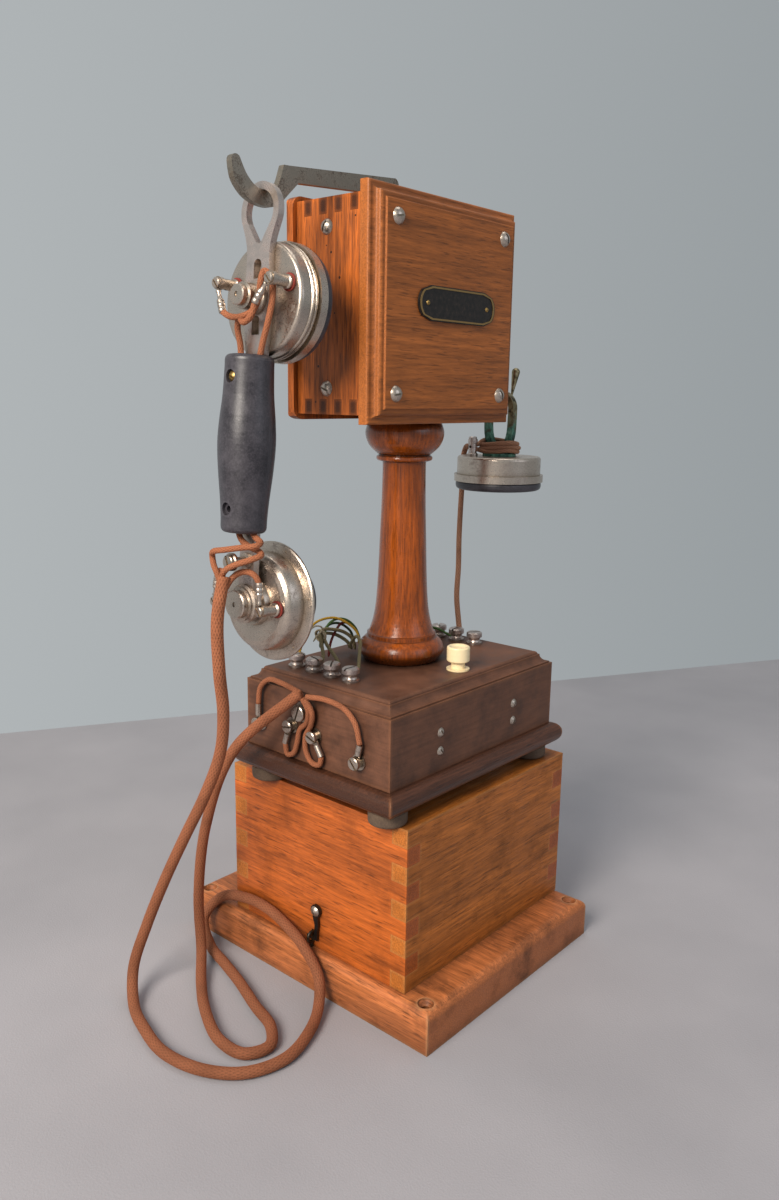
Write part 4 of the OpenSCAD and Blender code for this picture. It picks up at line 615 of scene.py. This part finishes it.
def blackened_plate(name, border_y):
    """Blackened brass, bare along its raised border, where y is below border_y."""
    material, tree = new_material(name)
    front = add(tree, "ShaderNodeSeparateXYZ", {0: add(tree, "ShaderNodeTexCoord").outputs["Object"]}).outputs[1]
    # Wear in clouds 2.5 mm wide
    cloud = add(tree, "ShaderNodeTexNoise", {"Vector": in_millimetres(tree), "Scale": 0.4, "Detail": 6.0,
                                             "Roughness": 0.7})
    raised = add(tree, "ShaderNodeMath", {0: front, 1: border_y}, operation="LESS_THAN").outputs[0]
    black = add(tree, "ShaderNodeValToRGB", {"Fac": cloud.outputs[0]},
                [(0.4, linear("#15110f")), (0.6, linear("#2b2420")), (0.75, linear("#4d4032"))]).outputs[0]
    metallic = add(tree, "ShaderNodeMapRange", {"Value": raised, "To Min": 0.25, "To Max": 1.0})
    roughness = add(tree, "ShaderNodeMapRange", {"Value": cloud.outputs[0], "To Min": 0.25, "To Max": 0.6})
    surface(tree, {"Base Color": layered(tree, black, (raised, linear("#a8895a"))),
                   "Metallic": metallic.outputs[0], "Roughness": roughness.outputs[0]})
    return material


def plain_cloth(name):
    """Plain woven cotton: a fine weave drawn at 1.3 mm so that it shows, and slow folds 170 mm apart."""
    material, tree = new_material(name)
    even = in_millimetres(tree)
    weave = add(tree, "ShaderNodeTexNoise", {"Vector": even, "Scale": 0.8, "Detail": 3.0})
    folds = add(tree, "ShaderNodeTexNoise", {"Vector": even, "Scale": 0.006, "Detail": 3.0})
    tone = add(tree, "ShaderNodeValToRGB", {"Fac": folds.outputs[0]},
               [(0.3, linear("#939196")), (0.7, linear("#a09da2"))])
    height = add(tree, "ShaderNodeMath", {0: folds.outputs[0], 1: 12.0, 2: weave.outputs[0]},
                 operation="MULTIPLY_ADD")
    bump = add(tree, "ShaderNodeBump", {"Height": height.outputs[0], "Distance": 0.4 * MM, "Strength": 0.5})
    surface(tree, {"Base Color": tone.outputs[0], "Normal": bump.outputs[0], "Roughness": 0.9,
                   "Sheen Weight": 0.1})
    return material


MATERIALS = {}


def make_materials():
    """Every finish of the telephone, by the record's slot or by its own short name."""
    woods = bpy.context.scene.telephone_woods
    metals = bpy.context.scene.telephone_finishes
    ring_low, ring_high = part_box("spare_ring")
    border_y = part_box("name_plate")[0][1] + 0.2 * MM
    cottons = {
        "cord_cotton": ("Cotton, braided", tuple(metals.cotton), 12, 4.2),
        "tail_cotton": ("Cotton, braided fine", tuple(metals.cotton), 7, 2.6),
        "spare_cotton": ("Cotton, braided brown", linear("#9b7058"), 6, 3.0),
        "string": ("Hemp string", linear("#b0a286"), 3, 2.4),
        "ochre": ("Cotton, ochre", linear("#b98f2f"), 4, 2.2),
        "olive": ("Cotton, faded olive", linear("#85795a"), 4, 2.2),
        "leaf": ("Cotton, green", linear("#4f6b3c"), 4, 2.2),
        "moss": ("Cotton, dark green", linear("#3a4a35"), 4, 2.2),
        "brick": ("Cotton, dark red", linear("#6d2f2a"), 4, 2.2),
    }
    # Braid over rubber is matt, with a soft sheen from its fluff
    MATERIALS.update({slot: braided_cotton(*cotton) for slot, cotton in cottons.items()})
    MATERIALS.update({
        # Cheap softwood that has stood in damp: dark stains, pale splintered edges, hardly any gloss left
        "board_wood": varnished_wood("Softwood, varnished and stained", "Y", tuple(woods.board), line_mm=6,
                                     stain=0.85, end=0.95, gloss=0.5, worn=0.5, pore=0.75, corner_shade=0.65,
                                     bare="#c3946a"),
        # Sawn beech under a thin varnish: short dark flecks in an even, warm ground
        "box_side_wood": varnished_wood("Beech sides, varnished", "Y", tuple(woods.box), line_mm=7, contrast=0.32,
                                        stain=0.5, end=0.7, gloss=0.42, coat=0.15, streak=0.45, pore=0.8,
                                        worn=0.25, corner_shade=0.6, shade_mm=14),
        # The same beech where light has faded it, with its end grain paler than its face
        "box_end_wood": varnished_wood("Beech ends, varnished", "X", tuple(woods.box_end), line_mm=9,
                                       contrast=0.3, stain=0.5, end=1.25, gloss=0.5, coat=0.05, streak=0.45,
                                       pore=0.65, worn=0.35, corner_shade=0.6, shift=(40, 9, 3), bare="#c08a52"),
        # Stained and polished, so that the moulding has a line of light and brown rubbed edges
        "plate_wood": varnished_wood("Beech plate, stained black", "X", tuple(woods.plate), line_mm=3,
                                     contrast=0.5, end=0.8, gloss=0.36, coat=0.2, worn=0.9, bare="#8a5a3a"),
        # Brushed paint hides the grain: dull, dust-flecked, chipped to the wood at its corners, and with painted
        # shade in its corners
        "case_wood": painted_wood("Beech case, brown oil paint", tuple(woods.case)),
        # Turned and French polished: deep red, with sharp highlights round the beads, and deep painted shade in the
        # turnings and under the head box
        "column_wood": varnished_wood("Mahogany, turned and polished", "Z", tuple(woods.column), line_mm=9,
                                      contrast=0.4, pore=0.65, gloss=0.26, coat=0.55, end=0.6, worn=0.1, corner_shade=0.9,
                                      shade_mm=28, streak=0.6),
        # Oil leaves the pores open: strong dark lines, a low sheen and a few worm holes
        "head_side_wood": varnished_wood("Walnut sides, oiled", "Z", tuple(woods.head), line_mm=7, contrast=0.5,
                                         pore=0.85, gloss=0.42, flecks=0.07, end=0.4, streak=0.75),
        # The shelves' end grain drinks the oil, so the fingers of the joints are nearly black
        "head_shelf_wood": varnished_wood("Walnut shelves, oiled", "X", tuple(woods.head), line_mm=6, contrast=0.5,
                                          pore=0.6, gloss=0.42, end=0.16),
        # Wax gives an even, soft gloss and keeps the moulding's edges pale
        "panel_wood": varnished_wood("Walnut panel, waxed", "X", tuple(woods.panel), line_mm=8, contrast=0.32,
                                     pore=0.6, gloss=0.44, shift=(10, 30, 14), end=1.2, worn=0.35, streak=0.45),
        # Plating worn thin: a warm mirror, clouded and brown where no hand reaches
        "nickel": worn_plate("Nickel plate, worn", tuple(metals.nickel)),
        "spotted_nickel": worn_plate("Nickel plate, spotted", tuple(metals.old_nickel), spotting=0.55, gloss=0.32,
                                     spots="#5a4b54"),
        # Bare rolled steel and blackened iron: dark, mottled, with a broad dull highlight
        "lever_steel": worn_plate("Steel, dull", tuple(metals.steel), spotting=0.6, gloss=0.38, spots="#4a4038"),
        "black_iron": worn_plate("Iron, blackened", linear("#45403c"), spotting=0.5, gloss=0.42, spots="#211d1a"),
        # Cast and drawn brass left to tarnish: brown spots on dull gold, green where damp stood
        "dull_brass": worn_plate("Brass, tarnished", linear("#b0925a"), spotting=0.6, gloss=0.35, spots="#4f3f22"),
        "green_brass": tarnished_ring("Brass, verdigris", ring_low[2], ring_high[2]),
        "black_plate": blackened_plate("Brass plate, blackened", border_y),
        # Hot pressed rubber, greyed by handling; casein turned and buffed to a soft cream gloss
        "ebonite": moulded("Ebonite, moulded and handled", tuple(metals.ebonite), bloom="#57535a", amount=0.45),
        "ivory_plastic": moulded("Casein, turned and polished", tuple(metals.ivory), bloom="#e9cf9a", amount=0.2,
                                 gloss=0.25, bump_mm=0.01, coat=0.2),
        # Pressed and soft materials, all matt: fibre washers, crumbling rubber feet, waxed card, silk on the coil
        "red_fibre": moulded("Fibre, vulcanised", linear("#8e2f22"), bloom="#5e1d15", amount=0.4, gloss=0.55),
        "foot_rubber": moulded("Rubber, perished", linear("#4a3a2f"), bloom="#6b5846", amount=0.6, gloss=0.75,
                               bump_mm=0.15),
        "cell_card": moulded("Card, waxed", linear("#6a5b49"), bloom="#8b7a60", amount=0.4, gloss=0.6),
        "coil_silk": moulded("Silk winding", linear("#2a4a32"), bloom="#3f6247", amount=0.4, gloss=0.5),
    })


# ---- Pieces ----


def lay_cord(name, path, diameter, finish, body, nodes=(), blend=None):
    """A cord along a path, which rides on a body or bends between two."""
    cord = tube(name, path, diameter / 2, sides=20 if diameter > 5 * MM else 12)
    if blend:
        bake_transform(cord, *blend)
    finish_piece(cord, MATERIALS[finish], body)
    if nodes:
        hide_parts(*nodes)
    return cord


class TELEPHONE_OT_stage(bpy.types.Operator):
    """Sets up the camera, a plain pale table and soft light from the left"""

    bl_idname = "telephone.stage"
    bl_label = "Stage"

    def execute(self, context):
        scene = context.scene
        azimuth, pitch, roll = (math.radians(a) for a in (CAMERA_AZIMUTH, CAMERA_PITCH, CAMERA_ROLL))
        forward = Vector((-math.sin(azimuth) * math.cos(pitch), math.cos(azimuth) * math.cos(pitch),
                          -math.sin(pitch)))
        right = forward.cross(Vector((0, 0, 1))).normalized()
        up = right.cross(forward)
        across = right * math.cos(roll) + up * math.sin(roll)
        upward = up * math.cos(roll) - right * math.sin(roll)
        lens = bpy.data.cameras.new("Camera")
        lens.sensor_width = SENSOR_SIDE
        lens.lens = FOCAL_LENGTH / FRAME_HEIGHT * SENSOR_SIDE
        lens.clip_start = 0.02
        camera = bpy.data.objects.new("Camera", lens)
        turn = Matrix((across, upward, -forward)).transposed().to_4x4()
        camera.matrix_world = Matrix.Translation(CAMERA_PLACE) @ turn
        scene.collection.objects.link(camera)
        scene.camera = camera

        self.table()
        self.room(scene, right)
        self.lamps(scene)
        scene.view_settings.view_transform = "Standard"
        return {"FINISHED"}

    def table(self):
        """A flat table under its cloth"""
        far_left, far_right = TABLE_FAR_EDGE
        toward = (far_right - far_left).cross(Vector((0, 0, 1))).normalized() * TABLE_DEPTH
        spread = (far_right - far_left) * TABLE_OVERRUN
        corners = [far_left - spread, far_right + spread, far_right + spread + toward, far_left - spread + toward]
        table = mesh_object("Table", corners + [c - Vector((0, 0, TABLE_THICKNESS)) for c in corners],
                            [(0, 3, 2, 1), (4, 5, 6, 7), (0, 1, 5, 4), (1, 2, 6, 5), (2, 3, 7, 6), (3, 0, 4, 7)],
                            smooth=False)
        table.data.materials.append(plain_cloth("Cotton tablecloth, plain woven"))

    def room(self, scene, right):
        """A pale blue-grey room, lighter on the side of the window"""
        world = bpy.data.worlds.new("Pale room")
        world.use_nodes = True
        background = world.node_tree.nodes["Background"]
        background.inputs["Strength"].default_value = ROOM_STRENGTH
        tree = world.node_tree
        toward = add(tree, "ShaderNodeTexCoord").outputs["Generated"]
        sideways = add(tree, "ShaderNodeVectorMath", {0: toward, 1: tuple(right)}, operation="DOT_PRODUCT")
        part = add(tree, "ShaderNodeMapRange", {"Value": sideways.outputs["Value"], "From Min": -0.4,
                                                "From Max": 0.4})
        lit = add(tree, "ShaderNodeValToRGB", {"Fac": part.outputs[0]},
                  [(place, linear(colour)) for place, colour in enumerate(ROOM_COLOURS)])
        tree.links.new(lit.outputs[0], background.inputs["Color"])
        scene.world = world

    def lamps(self, scene):
        """Soft round lamps, all aimed at the middle of the telephone"""
        for name, place, size, watts, colour in LAMPS:
            lamp = bpy.data.lights.new(name, "AREA")
            lamp.shape = "DISK"
            lamp.size = size
            lamp.energy = watts
            lamp.color = linear(colour)[:3]
            holder = bpy.data.objects.new(name, lamp)
            holder.location = place
            holder.rotation_euler = (LAMP_TARGET - Vector(place)).to_track_quat("-Z", "Y").to_euler()
            scene.collection.objects.link(holder)


class TELEPHONE_OT_cords(bpy.types.Operator):
    """Lays the handset cord, its tails at the case and the spare receiver's cord"""

    bl_idname = "telephone.cords"
    bl_label = "Cords"

    def execute(self, context):
        sizes = context.scene.telephone_sizes
        make_materials()
        path = smooth_path(millimetres(HANDSET_ROUTE), 2.5 * MM)
        lay_cord("handset_braid", path, sizes.cord, "cord_cotton", "telephone",
                 nodes=("handset_cord", "handset_cord_top"),
                 blend=("telephone", "handset", (-0.118, 0, 0.188), (-0.186, 0, 0.239)))
        for name, route in TAIL_ROUTES.items():
            path = smooth_path(millimetres(route), 1.2 * MM)
            lay_cord(f"tail_{name}", path, sizes.tail, "tail_cotton", "telephone")
        path = smooth_path(millimetres(SPARE_ROUTE), 2 * MM)
        lay_cord("spare_braid", path, sizes.spare_cord, "spare_cotton", "telephone",
                 nodes=("spare_cord", "spare_cord_top"),
                 blend=("telephone", "spare_receiver", (0.07, 0, 0.24), (0.07, 0, 0.315)))
        return {"FINISHED"}


class TELEPHONE_OT_conductors(bpy.types.Operator):
    """Ties the handset's conductors round the nut and the stud, with their crimped tags"""

    bl_idname = "telephone.conductors"
    bl_label = "Handset conductors"

    def execute(self, context):
        diameter = context.scene.telephone_sizes.tail
        for group, routes in (("ear", GRIP_TO_EAR), ("knot", GRIP_TO_CORD)):
            for name, route in routes.items():
                path = smooth_path(on_handset(route), 1.0 * MM)
                lay_cord(f"{group}_{name}", path, diameter, "tail_cotton", "handset")
        for name, route in MOUTH_TO_CORD.items():
            path = smooth_path(on_handset(route), 1.0 * MM)
            end = tube(f"mouth_{name}", path, diameter / 2, sides=12)
            finish_piece(end, MATERIALS["tail_cotton"], "handset")
        for name, start, end in (
            ("ear_tag_right", (-12.5, -11.5, -59), (-11.5, -18, -50)),
            ("ear_tag_left", (-12, 15.5, -62.5), (-11.5, 20, -52)),
            ("mouth_tag_right", (-8.6, -18.6, -206), (-8.2, -19, -217)),
            ("mouth_tag_left", (-10, 14.8, -206.5), (-8.6, 18.4, -217)),
        ):
            self.crimp_tag(name, *on_handset([start, end]))
        return {"FINISHED"}

    def crimp_tag(self, name, start, end):
        """A crimped sleeve with two pinched rings, tapering to the flat eye under a terminal's head."""
        axis = end - start
        length = axis.length * PER_MM
        profile = [(1.2, -1.0), (2.0, -0.9), (2.15, 0), (2.15, 1.4), (1.85, 1.7), (1.85, 2.1), (2.15, 2.4),
                   (2.15, 4.2), (1.85, 4.5), (1.85, 4.9), (2.1, 5.2), (2.0, 6.2), (1.3, 7.2), (1.1, length - 1),
                   (1.6, length), (1.2, length + 0.6)]
        made = turned(name, profile, start, axis, sides=20)
        finish_piece(made, MATERIALS["nickel"], "handset")


class TELEPHONE_OT_wires(bpy.types.Operator):
    """Adds the cotton-covered wires behind the column, their string tie and the spare receiver's winding"""

    bl_idname = "telephone.wires"
    bl_label = "Case wires"

    def execute(self, context):
        for name, (diameter, route) in CASE_WIRES.items():
            path = smooth_path(millimetres(route), 1.0 * MM)
            wire = tube(f"wire_{name}", path, rounded_ends(path, diameter / 2 * MM, 2), sides=10)
            finish_piece(wire, MATERIALS[name.split("_")[0]], "telephone")
        self.string_tie()
        self.winding()
        return {"FINISHED"}

    def string_tie(self):
        """Three turns of string round the bundle, and a knot with two loose ends."""
        centre = Vector((-51, 18.5, 227))
        path = []
        for i in range(73):
            angle = 2 * math.pi * i / 24
            path.append((centre + Vector((i * 0.03 - 1, 4.2 * math.cos(angle), 3.8 * math.sin(angle)))) * MM)
        tie = tube("string_tie", path, rounded_ends(path, STRING_RADIUS, 2), sides=8)
        finish_piece(tie, MATERIALS["string"], "telephone")
        for name, route in {
            "string_end_one": [(-51, 16, 230.5), (-54, 15, 234), (-58, 16, 235), (-62, 17, 233)],
            "string_end_two": [(-51, 16, 230.5), (-55, 14, 231), (-60, 13, 229), (-63, 13, 226)],
        }.items():
            path = smooth_path(millimetres(route), 0.8 * MM)
            end = tube(name, path, rounded_ends(path, STRING_RADIUS, 2), sides=8)
            finish_piece(end, MATERIALS["string"], "telephone")

    def winding(self):
        """Loose turns of the spare receiver's cord round the foot of its ring, and the end at its terminal"""
        low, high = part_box("spare_ring")
        post_low, post_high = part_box("spare_terminal")
        x, y = (low[0] + high[0]) / 2, (low[1] + high[1]) / 2
        path = []
        turns, steps = 2.9, 36
        for i in range(round(turns * steps) + 1):
            angle = 2.0 - 2 * math.pi * i / steps
            swell = 1 + 0.06 * math.sin(2.3 * angle)
            path.append(Vector((
                x + 9.5 * MM * swell * math.cos(angle),
                y + 14.6 * MM * swell * math.sin(angle),
                low[2] + (3.0 + 2.8 * (turns - i / steps) + 0.9 * math.sin(angle * 2)) * MM,
            )))
        post = Vector(((post_low[0] + post_high[0]) / 2 + 3.4 * MM, (post_low[1] + post_high[1]) / 2,
                       post_high[2] - 6 * MM))
        path = smooth_path([post, post + Vector((3.5, 0, 0.5)) * MM] + path[::6] + millimetres(SPARE_ROUTE[:1]),
                           1.0 * MM)
        made = tube("spare_winding", path, rounded_ends(path, WINDING_RADIUS, 3), sides=12)
        finish_piece(made, MATERIALS["spare_cotton"], "spare_receiver")


class TELEPHONE_OT_frame_finishes(bpy.types.Operator):
    """Gives every piece of the frame its finish"""

    bl_idname = "telephone.frame_finishes"
    bl_label = "Frame finishes"

    by_node = {
        "box_side_panels": "box_side_wood",
        "box_end_panels": "box_end_wood",
        "box_top": "box_end_wood",
        "head_sides": "head_side_wood",
        "head_top": "head_shelf_wood",
        "head_bottom": "head_shelf_wood",
        "head_back_panel": "head_side_wood",
    }

    def execute(self, context):
        for name, thing in NODES.items():
            thing.data.materials.clear()
            thing.data.materials.append(MATERIALS[self.by_node.get(name, SLOT_OF[name])])
        return {"FINISHED"}


class TELEPHONE_PT_panel(bpy.types.Panel):
    """Lists the operators, colours and sizes in the sidebar"""

    bl_idname = "TELEPHONE_PT_panel"
    bl_label = "Column telephone"
    bl_space_type = "VIEW_3D"
    bl_region_type = "UI"
    bl_category = "Telephone"

    def draw(self, context):
        column = self.layout.column()
        for operator in OPERATORS:
            column.operator(operator.bl_idname)
        for group in ("telephone_woods", "telephone_finishes", "telephone_sizes"):
            settings = getattr(context.scene, group)
            for name in settings.bl_rna.properties.keys():
                if name not in ("rna_type", "name"):
                    column.prop(settings, name)


GROUPS = {
    "telephone_woods": TelephoneWoods,
    "telephone_finishes": TelephoneFinishes,
    "telephone_sizes": TelephoneSizes,
}
OPERATORS = (
    TELEPHONE_OT_stage,
    TELEPHONE_OT_cords,
    TELEPHONE_OT_conductors,
    TELEPHONE_OT_wires,
    TELEPHONE_OT_frame_finishes,
)


def register():
    for group in GROUPS.values():
        bpy.utils.register_class(group)
    for name, group in GROUPS.items():
        setattr(bpy.types.Scene, name, bpy.props.PointerProperty(type=group))
    for operator in OPERATORS:
        bpy.utils.register_class(operator)
    bpy.utils.register_class(TELEPHONE_PT_panel)


def unregister():
    bpy.utils.unregister_class(TELEPHONE_PT_panel)
    for operator in reversed(OPERATORS):
        bpy.utils.unregister_class(operator)
    for name in GROUPS:
        delattr(bpy.types.Scene, name)
    for group in GROUPS.values():
        bpy.utils.unregister_class(group)


def main():
    register()
    for operator in OPERATORS:
        group, name = operator.bl_idname.split(".")
        getattr(getattr(bpy.ops, group), name)()


if __name__ == "__main__":
    main()
